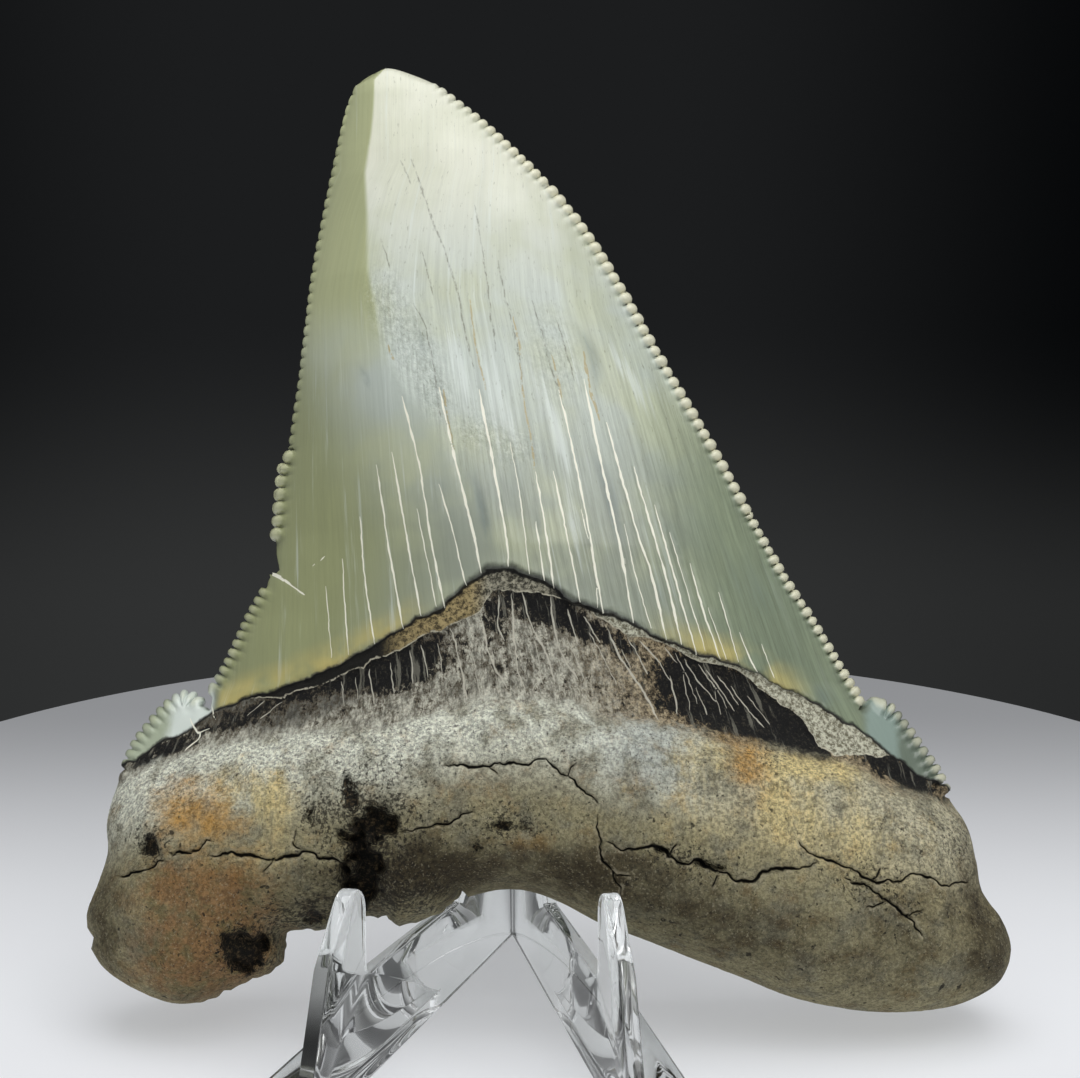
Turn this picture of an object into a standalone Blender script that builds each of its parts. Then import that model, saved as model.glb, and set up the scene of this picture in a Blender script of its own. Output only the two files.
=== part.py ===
"""A fossil shark tooth resting on a small clear easel.

Lengths are millimetres and become metres where a mesh is made. The tooth is
drawn in a plane of its own, which leans back on the easel: a runs across the
plane, b up along it, and n out of it, towards the side on show.
"""
import math

import bmesh
import bpy
import numpy as np
from mathutils import Vector
from mathutils.geometry import delaunay_2d_cdt

MM = 0.001

# Where the tooth stands
LEAN = math.radians(15.0)
TOOTH_X = -0.65
TOOTH_Y = 0.39
LOBE_HEIGHT = 1.0

# Serrations
BEAD_PITCH = 0.84
BEAD_DEPTH = 0.34
BEAD_PROFILE = (0.0, 0.8, 1.0, 0.8)
FINE_TIP_LENGTH = 4.0

# Thickness of the tooth
RIM_CROWN = 0.16
RIM_ROOT = 0.7
ROOT_MIDDLE = 2.2
ROOT_ROUND = 6.5
ENAMEL_STEP = 0.35
FLAKE_STEP = 0.25

# Spacing of the faces
ROOT_STEP = 1.5
FRONT_GRID = 2.3
BACK_GRID = 3.4
CRACK_STEP = 1.2

# The easel
WALL = 1.1
SPINE_X = -2.85
SPINE_Y = 21.79
HALF_ANGLE = math.radians(14.4)
TURN = math.radians(3.1)
FOOT_REACH = 44.5
PRONG_BEND = (40.3, 10.0)
PRONG_TIP = (35.65, 12.25)
PRONG_RADIUS = 1.85
NOTCH_RADIUS = 0.8
LEDGE_FRONT_Z = 7.5
LEDGE_BACK_Z = 6.9
REST_REACH = 15.2
REST_TOP = 40.0
FLANGE_WIDTH = 4.45
FLANGE_THICK = 1.2
FLANGE_LENGTH = 26.0
FLANGE_CORNER = 2.0

# The outline, anticlockwise as seen from the front, starting below the left cusplet
OUTLINE = [
    ("smooth", [(-31.3, 17.6), (-31.9, 15.5), (-32.1, 13.6), (-31.8, 11.6), (-32.3, 9.6), (-33.1, 7.4),
                (-33.1, 6.1)]),
    ("broken", [(-33.1, 6.1), (-32.6, 5.4), (-32.8, 4.6)]),
    ("smooth", [(-32.8, 4.6), (-31.7, 3.1), (-29.9, 1.9), (-27.9, 1.0), (-26.3, 0.6), (-24.8, 0.7)]),
    ("broken", [(-24.8, 0.7), (-22.0, 2.0), (-19.9, 2.7), (-19.1, 3.4), (-18.6, 4.5), (-18.8, 5.5),
                (-18.4, 5.9), (-15.5, 6.0), (-14.0, 6.7), (-13.3, 6.4), (-12.9, 6.9), (-11.4, 6.9),
                (-10.3, 6.2), (-9.2, 6.5), (-7.4, 7.0), (-6.1, 8.2), (-5.7, 8.7), (-5.3, 8.3)]),
    ("smooth", [(-5.3, 8.3), (-3.0, 8.8), (-0.8, 8.7), (1.5, 7.9), (4.4, 6.4), (7.4, 5.3), (11.0, 3.9),
                (14.7, 2.5), (18.3, 1.1), (22.0, 0.3), (25.6, 0.0), (29.3, 0.3), (31.8, 1.1), (33.6, 2.4),
                (34.4, 4.6), (33.8, 6.7), (32.4, 8.8), (32.1, 11.0), (31.7, 13.5), (30.4, 15.9)]),
    ("serrated", [(30.4, 15.9), (29.7, 17.8), (28.8, 19.3), (27.8, 21.0), (26.8, 22.3), (25.8, 22.9)]),
    ("smooth", [(25.8, 22.9), (25.0, 22.8), (24.3, 22.4)]),
    ("serrated", [(24.3, 22.4), (23.9, 23.6), (22.8, 25.5), (20.7, 29.1), (18.6, 32.4), (16.1, 37.0),
                  (14.3, 40.5), (11.8, 45.0), (9.0, 49.9), (6.2, 55.1), (3.5, 59.5), (0.7, 63.1),
                  (-2.0, 65.8), (-4.9, 68.6), (-7.9, 71.0)]),
    ("smooth", [(-7.9, 71.0), (-9.6, 71.8), (-11.6, 72.3), (-13.2, 72.0), (-14.5, 71.1)]),
    ("serrated", [(-14.5, 71.1), (-15.3, 69.0), (-16.1, 65.0), (-16.9, 60.7), (-17.7, 55.9), (-18.2, 51.1),
                  (-18.7, 46.4), (-19.3, 42.0)]),
    ("serrated", [(-19.3, 42.0), (-20.0, 40.3), (-20.2, 38.2), (-20.3, 36.2), (-20.4, 34.9)]),
    ("broken", [(-20.4, 34.9), (-20.0, 33.6), (-19.7, 32.5), (-20.5, 32.1), (-21.0, 31.4)]),
    ("serrated", [(-21.0, 31.4), (-22.5, 28.9), (-23.4, 26.7), (-24.3, 25.0), (-25.0, 23.8)]),
    ("smooth", [(-25.0, 23.8), (-24.7, 22.9), (-24.8, 22.0), (-25.3, 22.6)]),
    ("serrated", [(-25.3, 22.6), (-26.0, 23.3), (-27.1, 23.5), (-28.5, 22.6), (-29.7, 21.2), (-30.8, 19.6),
                  (-31.3, 17.6)]),
]

# Lines across the front, from left to right
ENAMEL_LINE = [(-31.3, 17.8), (-30.1, 18.3), (-28.8, 19.3), (-26.2, 20.5), (-24.4, 21.6), (-21.9, 22.5),
               (-19.1, 23.3), (-16.3, 24.4), (-13.4, 25.7), (-10.7, 27.2), (-8.0, 28.9), (-5.1, 31.1),
               (-3.6, 32.0), (-2.3, 32.1), (-0.5, 31.5), (2.3, 29.8), (6.6, 28.1), (11.1, 26.1), (15.7, 24.6),
               (19.3, 22.9), (23.3, 20.9), (24.8, 19.6), (27.8, 17.3), (30.4, 15.9)]
COLLAR_LINE = [(-31.3, 17.2), (-29.2, 18.0), (-26.2, 18.8), (-23.4, 19.7), (-18.0, 20.6), (-10.6, 21.1),
               (-6.9, 22.2), (-3.0, 22.9), (1.7, 22.6), (5.0, 21.6), (12.2, 20.4), (18.0, 19.2), (23.5, 18.0),
               (27.7, 16.3), (30.4, 15.5)]
FLAKE_LINE = [(-20.0, 23.0), (-16.3, 23.7), (-12.1, 25.1), (-8.6, 26.9), (-5.1, 28.9), (-4.0, 30.4),
              (-2.3, 30.6), (-0.2, 30.3), (1.6, 29.0), (5.4, 27.6), (9.1, 26.1), (12.2, 24.5), (14.7, 23.5),
              (17.5, 22.0), (20.2, 19.4), (23.6, 18.7)]
BACK_ENAMEL_LINE = [(-31.3, 17.4), (-26.0, 17.6), (-20.0, 16.6), (-12.0, 17.4), (-4.0, 19.4), (4.0, 18.4),
                    (12.0, 16.8), (20.0, 15.8), (26.0, 16.2), (30.4, 15.7)]

# The crown's edges without their beads, and how its front swells: each is height b, then the value there
CROWN_LEFT = [(16, -36), (24, -25), (29, -22.5), (35, -20.4), (42, -19.3), (55, -17.8), (65, -16),
              (71, -14.5), (72.3, -12.5)]
CROWN_RIGHT = [(16, 36), (24, 23.8), (32.4, 18.6), (40.5, 14.3), (49.9, 9), (59.5, 3.5), (65.8, -2),
               (71, -7.9), (72.3, -11)]
CROWN_CREST = [(34, -0.1), (42, -0.3), (48, -0.5), (55, -0.6), (63, -0.65), (72, -0.5)]
CROWN_KEENNESS = [(40, 2.0), (52, 1.3), (60, 1.1)]
CROWN_SWELL = [(10, 8.2), (24, 7.8), (34, 7.0), (45, 5.7), (55, 4.3), (65, 2.7), (70, 1.6), (72.3, 0.5)]
CREST_FALL = 1.9
LENS_FULLNESS = 0.85
LAND_RISE = 0.3
LAND_WIDTH = 0.4
CUSPLET_SWELL = 1.5
CUSPLET_ROUND = 0.9
CUSPLETS_FROM = (23.5, 25.0)

# The root's front: the height of its fullest line at each distance from the middle, and how it falls from it
ROOT_SPAN = 30.0
ROOT_RIDGE = [(0, 13.5), (10, 12.0), (20, 10.2), (30, 9.0)]
ROOT_SWELL = (10.9, 3.0)
ROOT_FALL = (2.4, 4.2)
ROOT_FALL_REACH = 10.0
ROOT_WAVES = (0.22, 0.12)

# The back: the crown's shallow swell, and the root's, which is fuller at its lobes
BACK_CROWN_SWELL = (0.6, 1.5)
BACK_ENAMEL_STEP = 0.3
BACK_ROOT_SWELL = 3.2
LOBE_SWELL = 0.9
LOBE_MIDDLE = 21.0
LOBE_REACH = 8.0

# Cracks in the root, and hollows where it broke: middle, half sizes, turn in degrees and depth
CRACKS = [
    [(-29.9, 9.9), (-28.3, 10.4), (-26.7, 11.2), (-23.2, 12.2), (-21.4, 11.6), (-17.5, 11.3), (-13.9, 11.1)],
    [(-6.6, 17.9), (-2.7, 18.1), (0.2, 18.0), (1.7, 17.2), (4.0, 15.2)],
    [(4.7, 12.3), (8.2, 12.0), (11.4, 11.0), (14.3, 9.8), (17.5, 10.7), (19.4, 11.0)],
    [(18.2, 12.4), (20.9, 10.8), (23.4, 9.7), (27.0, 10.0), (30.4, 9.5)],
]
CRACK_WIDTH = 0.45
CRACK_DEPTH = 0.55
HOLLOWS = [
    ((-12.4, 10.6), (1.5, 3.4), -8.0, 2.6),
    ((-11.6, 13.4), (1.8, 1.4), 20.0, 1.6),
    ((-13.2, 15.6), (0.8, 1.6), 10.0, 0.9),
    ((-21.0, 4.4), (1.7, 1.9), 30.0, 1.5),
    ((-27.7, 12.2), (0.9, 0.8), 0.0, 0.6),
    ((-16.1, 7.2), (1.1, 0.8), 0.0, 0.8),
]


def even_line(points, step, rounded=True):
    """Evenly spaced points, at about the given step, along a line through a few points."""
    corners = np.array(points, float)
    if rounded:
        ends = np.vstack([2 * corners[0] - corners[1], corners, 2 * corners[-1] - corners[-2]])
        fine = [corners[0]]
        for p, q, r, s in zip(ends, ends[1:], ends[2:], ends[3:]):
            for t in np.linspace(0.0, 1.0, 11)[1:]:
                bend = (2 * p - 5 * q + 4 * r - s) * t * t + (3 * q - p - 3 * r + s) * t ** 3
                fine.append(0.5 * (2 * q + (r - p) * t + bend))
        corners = np.array(fine)
    length = np.concatenate([[0.0], np.cumsum(np.hypot(*np.diff(corners, axis=0).T))])
    count = max(1, round(length[-1] / step))
    where = np.linspace(0.0, length[-1], count + 1)
    return np.column_stack([np.interp(where, length, corners[:, k]) for k in (0, 1)])


def outward(line):
    """Unit vectors to the right of an open line's direction, which is outwards here."""
    run = np.gradient(line, axis=0)
    run /= np.hypot(*run.T)[:, None]
    return np.column_stack([run[:, 1], -run[:, 0]])


def tooth_outline():
    """The closed outline: its points, the line without beads, half the rim's thickness, and what is root."""
    edge, bare, rim, root = [], [], [], []
    for style, points in OUTLINE:
        serrated = style == "serrated"
        step = BEAD_PITCH / len(BEAD_PROFILE) if serrated else ROOT_STEP * (0.5 if style == "broken" else 1.0)
        line = even_line(points, step, style != "broken")
        if serrated:
            bead = np.array([BEAD_PROFILE[i % len(BEAD_PROFILE)] for i in range(len(line))])
            from_tip = np.hypot(line[:, 0] + 11.6, line[:, 1] - 72.3)
            depth = BEAD_DEPTH * np.clip((from_tip - 2.0) / FINE_TIP_LENGTH, 0.3, 1.0)
            moved = line - outward(line) * (depth * (1.0 - bead))[:, None]
        else:
            moved = line
        in_root = line.mean(axis=0)[1] < 15.0
        edge.append(moved[:-1])
        bare.append(line[:-1])
        rim.append(np.full(len(line) - 1, RIM_ROOT if in_root else RIM_CROWN))
        root.append(np.full(len(line) - 1, in_root))
    rim = np.concatenate(rim)
    rim = (np.roll(rim, 1) + 2 * rim + np.roll(rim, -1)) / 4
    return np.vstack(edge), np.vstack(bare), rim, np.concatenate(root)


def distance(points, line, closed=False):
    """Distance of each point to a line of straight pieces."""
    start = line if closed else line[:-1]
    run = (np.roll(line, -1, axis=0) if closed else line[1:]) - start
    nearest = np.full(len(points), np.inf)
    for p, d in zip(start, run):
        rel = points - p
        t = np.clip(rel @ d / max(d @ d, 1e-12), 0.0, 1.0)
        nearest = np.minimum(nearest, np.hypot(*(rel - t[:, None] * d).T))
    return nearest


def ease(x, low, high):
    """0 below low and 1 above high, with a smooth rise between."""
    t = np.clip((x - low) / (high - low), 0.0, 1.0)
    return t * t * (3.0 - 2.0 * t)


def read_at(line, x):
    """The value that a line of (x, value) points has at each x."""
    points = np.array(line)
    return np.interp(x, points[:, 0], points[:, 1])


def across_crown(a, b):
    """Place across the crown, from -1 at its left edge to 1 at its right edge."""
    left = read_at(CROWN_LEFT, b)
    right = read_at(CROWN_RIGHT, b)
    return np.clip(2.0 * (a - left) / (right - left) - 1.0, -1.0, 1.0)


def crown_front(a, b, from_edge):
    """Height of the crown's front: a lens whose crest runs close to the left edge near the tip."""
    u = across_crown(a, b)
    crest = read_at(CROWN_CREST, b)
    swell = read_at(CROWN_SWELL, b)
    keen = read_at(CROWN_KEENNESS, b)
    t = np.where(u < crest, (crest - u) / (1.0 + crest), (u - crest) / (1.0 - crest))
    lens = swell * (1.0 - t ** np.where(u < crest, keen, CREST_FALL)) ** LENS_FULLNESS
    land = RIM_CROWN + LAND_RISE * (1.0 - np.exp(-from_edge / LAND_WIDTH))
    cusplet = CUSPLET_SWELL * (1.0 - np.exp(-from_edge / CUSPLET_ROUND)) * ease(np.abs(a), *CUSPLETS_FROM)
    return np.maximum(lens, cusplet) + land


def root_middle(a, b):
    """The middle of the root's thickness, which comes forward of the crown's edges."""
    collar = read_at(COLLAR_LINE, a)
    return ROOT_MIDDLE * (1.0 - ease(b, collar - 7.0, collar + 0.5))


def root_front(a, b, from_rim):
    """Height of the root's front: a broad swelling, rounded to the rim."""
    side = np.abs(a) / ROOT_SPAN
    ridge = read_at(ROOT_RIDGE, np.abs(a))
    full = ROOT_SWELL[0] - ROOT_SWELL[1] * side ** 2
    steep = ROOT_FALL[0] + ROOT_FALL[1] * side ** 1.5
    fall = steep * np.clip((b - ridge) / ROOT_FALL_REACH, 0.0, 1.6) ** 2
    uneven = ROOT_WAVES[0] * np.sin(0.55 * a + 0.35 * b) * np.sin(0.5 * b - 0.2 * a + 1.0)
    uneven += ROOT_WAVES[1] * np.sin(1.3 * a + 0.9 * b)
    reach = ROOT_ROUND * (1.0 - 0.25 * np.exp(-(a / 9.0) ** 2))
    rounding = np.sqrt(1.0 - (1.0 - np.clip(from_rim / reach, 0.0, 1.0)) ** 2)
    middle = root_middle(a, b)
    return middle + RIM_ROOT + (full - fall + uneven - middle) * rounding


def front_height(points, outline, root_line):
    """Height of the front at each point."""
    a, b = points.T
    from_edge = distance(points, outline, closed=True)
    from_rim = distance(points, root_line)
    collar = read_at(COLLAR_LINE, a)
    blend = np.interp(np.abs(a), [18.0, 28.0], [2.6, 1.0])
    crown = ease(b - collar, -blend, 0.6 * blend)
    height = crown * crown_front(a, b, from_edge) + (1.0 - crown) * root_front(a, b, from_rim)
    height += ENAMEL_STEP * ease(b - read_at(ENAMEL_LINE, a), -0.15, 0.15) * ease(24.0 - np.abs(a), 0.0, 3.0)
    under_flake = (b > collar) & (b < read_at(FLAKE_LINE, a))
    height -= FLAKE_STEP * under_flake * ease(24.0 - np.abs(a), 0.0, 3.0)
    for crack in CRACKS:
        gap = distance(points, even_line(crack, CRACK_STEP))
        height -= CRACK_DEPTH * np.clip(1.0 - gap / CRACK_WIDTH, 0.0, 1.0)
    for middle, half, turn, depth in HOLLOWS:
        c, s = math.cos(math.radians(turn)), math.sin(math.radians(turn))
        p = (a - middle[0]) * c + (b - middle[1]) * s
        q = (b - middle[1]) * c - (a - middle[0]) * s
        height -= depth * (1.0 - ease(np.hypot(p / half[0], q / half[1]), 0.35, 1.0))
    return np.maximum(height, root_middle(a, b) + RIM_CROWN + 0.1)


def back_height(points, root_line):
    """Height of the back at each point: a nearly flat crown over a fuller root."""
    a, b = points.T
    from_rim = distance(points, root_line)
    u = across_crown(a, b)
    swell = BACK_CROWN_SWELL[0] + BACK_CROWN_SWELL[1] * np.interp(b, [20, 72], [1.0, 0.3])
    crown_depth = RIM_CROWN + swell * (1.0 - u * u) ** 0.7
    rounding = np.sqrt(1.0 - (1.0 - np.clip(from_rim / ROOT_ROUND, 0.0, 1.0)) ** 2)
    lobes = np.exp(-((np.abs(a) - LOBE_MIDDLE) / LOBE_REACH) ** 2)
    fade = 1.0 - ease(b, 11.0, 19.0) * ease(np.abs(a), 20.0, 31.0)
    middle = root_middle(a, b)
    full = (BACK_ROOT_SWELL + LOBE_SWELL * lobes + middle) * rounding * (0.25 + 0.75 * fade)
    root_depth = RIM_ROOT * fade - middle + full
    line = read_at(BACK_ENAMEL_LINE, a)
    crown = ease(b - line, -2.5, 1.5)
    depth = crown * crown_depth + (1.0 - crown) * root_depth
    depth += BACK_ENAMEL_STEP * ease(b - line, -0.15, 0.15) * ease(29.0 - np.abs(a), 0.0, 4.0)
    return -np.maximum(depth, RIM_CROWN + 0.1 - middle)


def apart(candidates, kept, spacing):
    """The candidates that stay clear of the points kept so far."""
    gaps = np.hypot(candidates[:, None, 0] - kept[None, :, 0], candidates[:, None, 1] - kept[None, :, 1])
    return candidates[gaps.min(axis=1) > spacing]


def add_points(kept, candidates, spacing):
    return np.vstack([kept, apart(candidates, kept, spacing)])


def beside(line, offset):
    """A line's points with a row on each side of it."""
    return np.vstack([line, line + offset * outward(line), line - offset * outward(line)])


def inner_points(bare, root, grid, front):
    """Points inside the outline: rows along it, rows along the relief, and a grid between them."""
    inward = -outward(np.vstack([bare[-1:], bare, bare[:1]]))[1:-1]
    kept = bare
    if front:
        for crack in CRACKS:
            kept = add_points(kept, beside(even_line(crack, CRACK_STEP), CRACK_WIDTH), 0.4)
        for line in (ENAMEL_LINE[4:-3], FLAKE_LINE):
            row = even_line(line, 1.5)
            kept = add_points(kept, np.vstack([row + (0.0, 0.17), row - (0.0, 0.17)]), 0.3)
        for middle, half, turn, depth in HOLLOWS:
            for share, count in ((0.0, 1), (0.5, 6), (1.05, 10)):
                angles = np.linspace(0.0, 2.0 * math.pi, count, endpoint=False)
                ring = np.column_stack([half[0] * share * np.cos(angles), half[1] * share * np.sin(angles)])
                kept = add_points(kept, ring + middle, 0.45)
    beads = len(BEAD_PROFILE)
    for inset, stride in ((0.62, beads), (1.9, 2 * beads)):
        row = (bare + inset * inward)[~root][::stride]
        kept = add_points(kept, row[distance(row, bare, closed=True) > 0.85 * inset], 0.45 * inset)
    for inset, stride in ((0.5, 1), (1.5, 1), (3.2, 2)):
        row = (bare + inset * inward)[root][::stride]
        kept = add_points(kept, row[distance(row, bare, closed=True) > 0.85 * inset], 0.6 * inset)
    if not front:
        row = even_line(BACK_ENAMEL_LINE[1:-1], 2.0)
        kept = add_points(kept, np.vstack([row + (0.0, 0.17), row - (0.0, 0.17)]), 0.3)
    rows = np.arange(0.5, 72.0, grid * 0.87)
    cells = [(a + 0.5 * grid * (i % 2), b) for i, b in enumerate(rows) for a in np.arange(-34.0, 35.0, grid)]
    cells = np.array(cells)
    kept = add_points(kept, cells, 0.55 * grid)
    return kept[len(bare):]


def is_inside(points, line):
    """Whether each point is inside a closed line."""
    inside = np.zeros(len(points), bool)
    for p, q in zip(line, np.roll(line, -1, axis=0)):
        if p[1] != q[1]:
            crossing = (points[:, 1] > min(p[1], q[1])) & (points[:, 1] <= max(p[1], q[1]))
            at = p[0] + (points[:, 1] - p[1]) * (q[0] - p[0]) / (q[1] - p[1])
            inside ^= crossing & (points[:, 0] < at)
    return inside


def triangles(edge, inner):
    """Triangles between the outline and the points inside it, which keep their order."""
    points = [Vector(p) for p in np.vstack([edge, inner]).tolist()]
    found = delaunay_2d_cdt(points, [], [list(range(len(edge)))], 1, 1e-7)
    place = [sources[0] for sources in found[3]]
    return [[place[k] for k in face] for face in found[2]]


def in_world(points, heights):
    """Points of the tooth's plane, at their heights, as metres in the part's frame."""
    a, b = points.T
    return np.column_stack([
        TOOTH_X + a,
        TOOTH_Y + b * math.sin(LEAN) - heights * math.cos(LEAN),
        LOBE_HEIGHT + b * math.cos(LEAN) + heights * math.sin(LEAN),
    ]) * MM


def paint(piece, name, colour, roughness, transmission=0.0):
    """A plain Principled material of the piece's own."""
    material = bpy.data.materials.new(name)
    material.use_nodes = True
    shader = material.node_tree.nodes["Principled BSDF"]
    shader.inputs["Base Color"].default_value = (*colour, 1.0)
    shader.inputs["Roughness"].default_value = roughness
    shader.inputs["Metallic"].default_value = 0.0
    shader.inputs["Transmission Weight"].default_value = transmission
    material.diffuse_color = (*colour, 1.0)
    piece.data.materials.append(material)


def new_piece(name, vertices, faces):
    """A new object from vertices in metres."""
    mesh = bpy.data.meshes.new(name)
    mesh.from_pydata([tuple(v) for v in vertices], [], faces)
    piece = bpy.data.objects.new(name, mesh)
    bpy.context.scene.collection.objects.link(piece)
    return piece


def make_tooth():
    """The whole tooth: a front and a back sheet over one outline, joined round the rim."""
    edge, bare, rim, root = tooth_outline()
    root_line = bare[root]
    count = len(edge)
    middle = root_middle(*bare.T)
    front_inner = inner_points(bare, root, FRONT_GRID, True)
    front_inner = front_inner[is_inside(front_inner, edge)]
    back_inner = inner_points(bare, root, BACK_GRID, False)
    back_inner = back_inner[is_inside(back_inner, edge)]
    vertices = np.vstack([
        in_world(edge, middle + rim),
        in_world(front_inner, front_height(front_inner, bare, root_line)),
        in_world(edge, middle - rim),
        in_world(back_inner, back_height(back_inner, root_line)),
    ])
    start = count + len(front_inner)
    faces = triangles(edge, front_inner)
    faces += [[start + k for k in reversed(face)] for face in triangles(edge, back_inner)]
    for i in range(count):
        j = (i + 1) % count
        faces.append([i, start + i, start + j])
        faces.append([i, start + j, j])
    tooth = new_piece("tooth", vertices, faces)
    tooth.data.shade_smooth()
    paint(tooth, "fossil_enamel_and_root", (0.42, 0.41, 0.33), 0.4)
    return tooth


def slab(name, profile, thickness):
    """A flat plate: a profile in x and z, as thick as asked along y and centred on it."""
    mesh = bpy.data.meshes.new(name)
    shape = bmesh.new()
    outline = [shape.verts.new((x * MM, -0.5 * thickness * MM, z * MM)) for x, z in profile]
    face = shape.faces.new(outline)
    pushed = bmesh.ops.extrude_face_region(shape, geom=[face])["geom"]
    moved = [v for v in pushed if isinstance(v, bmesh.types.BMVert)]
    bmesh.ops.translate(shape, verts=moved, vec=(0.0, thickness * MM, 0.0))
    bmesh.ops.recalc_face_normals(shape, faces=shape.faces)
    shape.to_mesh(mesh)
    shape.free()
    piece = bpy.data.objects.new(name, mesh)
    bpy.context.scene.collection.objects.link(piece)
    return piece


def arc(centre, radius, start, end, steps):
    """Points on an arc, with its angles in degrees."""
    angles = np.radians(np.linspace(start, end, steps + 1))
    return [(centre[0] + radius * math.cos(t), centre[1] + radius * math.sin(t)) for t in angles]


def wall_profile():
    """One wall from the side: reach from the spine, then height."""
    lean_back = (REST_TOP - LEDGE_BACK_Z) * math.tan(LEAN)
    points = [(0.0, 0.0), (FOOT_REACH, 0.0), PRONG_BEND]
    points += arc(PRONG_TIP, PRONG_RADIUS, 43.0, 180.0, 8)
    notch = (PRONG_TIP[0] - PRONG_RADIUS - NOTCH_RADIUS, LEDGE_FRONT_Z + NOTCH_RADIUS)
    points += arc(notch, NOTCH_RADIUS, 0.0, -90.0, 4)
    points += [(REST_REACH, LEDGE_BACK_Z)]
    points += arc((REST_REACH - lean_back - 1.5, REST_TOP), 1.5, 15.0, 90.0, 4)
    points += [(0.0, REST_TOP + 1.5)]
    return points


def flange_profile():
    """One foot flange in plan: reach from the spine, then width out from the wall."""
    front, back = FOOT_REACH, FOOT_REACH - FLANGE_LENGTH
    turn = FLANGE_CORNER
    points = [(back, -0.4), (front, -0.4)]
    points += arc((front - turn, FLANGE_WIDTH - turn), turn, 0.0, 90.0, 5)
    points += arc((back + turn, FLANGE_WIDTH - turn), turn, 90.0, 180.0, 5)
    return points


def make_side(side):
    """One wall with its flange, turned to its place in the V: side is -1 on the left and 1 on the right."""
    wall = slab("wall", wall_profile(), WALL)
    flange = slab("flange", flange_profile(), FLANGE_THICK)
    for vertex in flange.data.vertices:
        x, y, z = vertex.co
        vertex.co = (x, side * (z + 0.5 * WALL * MM), y + 0.5 * FLANGE_THICK * MM)
    if side < 0:
        flange.data.flip_normals()
    heading = -0.5 * math.pi + side * HALF_ANGLE - TURN
    for piece in (wall, flange):
        c, s = math.cos(heading), math.sin(heading)
        for vertex in piece.data.vertices:
            x, y, z = vertex.co
            vertex.co = (x * c - y * s + SPINE_X * MM, x * s + y * c + SPINE_Y * MM, z)
    return [wall, flange]


def make_stand():
    """The easel: two walls in a V with their flanges, united in one moulding."""
    pieces = make_side(-1) + make_side(1)
    stand = pieces[0]
    stand.name = "stand"
    stand.data.name = "stand"
    for piece in pieces[1:]:
        union = stand.modifiers.new("join_" + piece.name, "BOOLEAN")
        union.operation = "UNION"
        union.solver = "EXACT"
        union.object = piece
        piece.hide_render = True
        piece.display_type = "WIRE"
    paint(stand, "clear_acrylic", (0.93, 0.95, 0.94), 0.06, 1.0)
    return stand


for item in list(bpy.data.objects):
    bpy.data.objects.remove(item, do_unlink=True)
make_tooth()
make_stand()
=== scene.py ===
"""A fossil shark tooth on its clear easel: fine surfaces, finishes, floor, lights and camera.

The tooth is drawn in a plane of its own, which leans back on the easel: a runs
across the plane, b up along it, and n out of it, towards the side on show.
Lengths are millimetres, and become metres where a mesh or a lamp is made.
"""
import math

import bmesh
import bpy
import numpy as np
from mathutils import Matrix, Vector
from mathutils.geometry import delaunay_2d_cdt
from mathutils.kdtree import KDTree


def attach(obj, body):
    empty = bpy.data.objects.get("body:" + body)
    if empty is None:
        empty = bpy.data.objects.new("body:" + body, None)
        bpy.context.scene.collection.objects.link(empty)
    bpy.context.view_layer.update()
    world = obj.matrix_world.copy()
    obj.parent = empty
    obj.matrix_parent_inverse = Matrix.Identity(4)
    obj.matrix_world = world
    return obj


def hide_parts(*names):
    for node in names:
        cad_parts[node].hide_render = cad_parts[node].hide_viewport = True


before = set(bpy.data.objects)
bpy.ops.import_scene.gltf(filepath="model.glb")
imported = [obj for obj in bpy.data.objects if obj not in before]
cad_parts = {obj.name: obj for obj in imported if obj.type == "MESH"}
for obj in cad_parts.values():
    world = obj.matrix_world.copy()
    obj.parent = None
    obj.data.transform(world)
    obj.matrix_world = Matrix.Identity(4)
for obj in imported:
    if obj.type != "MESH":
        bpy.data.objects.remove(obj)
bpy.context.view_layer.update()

MM = 0.001

# Where the tooth stands
LEAN = math.radians(15.0)
TOOTH_X = -0.65
TOOTH_Y = 0.39
LOBE_HEIGHT = 1.0
TIP = (-11.6, 72.3)

# The cutting edges: beads are a pitch apart and shrink towards the tip, and each tails off inwards.
# A bead's centre, the tails and the gaps are in shares of its length or height.
BEAD_STEPS = 8
BEAD_DEPTH = 0.36
BEAD_FILL = 0.9
BEAD_LENGTH = 0.78
BEAD_HEIGHT = 0.4
BEAD_CENTRE = 0.45
TAIL_REACH = 1.7
TAIL_HEIGHT = 0.35
GAP_REACH = 1.3
GAP_DEPTH = 0.55
FINE_TIP_LENGTH = 16.0
BEAD_ROWS = (0.1, 0.2, 0.31, 0.43, 0.56, 0.7, 0.86, 1.04, 1.24)

# Half the rim's thickness, how far forward the root's middle lies, its rounding, and the front's steps
RIM_CROWN = 0.16
RIM_ROOT = 0.7
ROOT_MIDDLE = 2.2
ROOT_ROUND = 6.5
ENAMEL_STEP = 0.35
FLAKE_STEP = 0.25

# Spacing of the points, and how close two rows may come
ROOT_STEP = 0.3
FRONT_GRID = 0.31
BACK_GRID = 0.44
LINE_STEP = 0.3
SAMPLE_STEP = 0.05
ROOT_ROWS = (0.15, 0.35, 0.6)
CREST_FROM = 50.0
CREST_ROWS = (0.0, -0.15, 0.15)
FINE_GAP = 0.07
CREST_GAP = 0.09
ROOT_GAP = 0.12
OUTER_GAP = 0.05

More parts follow.
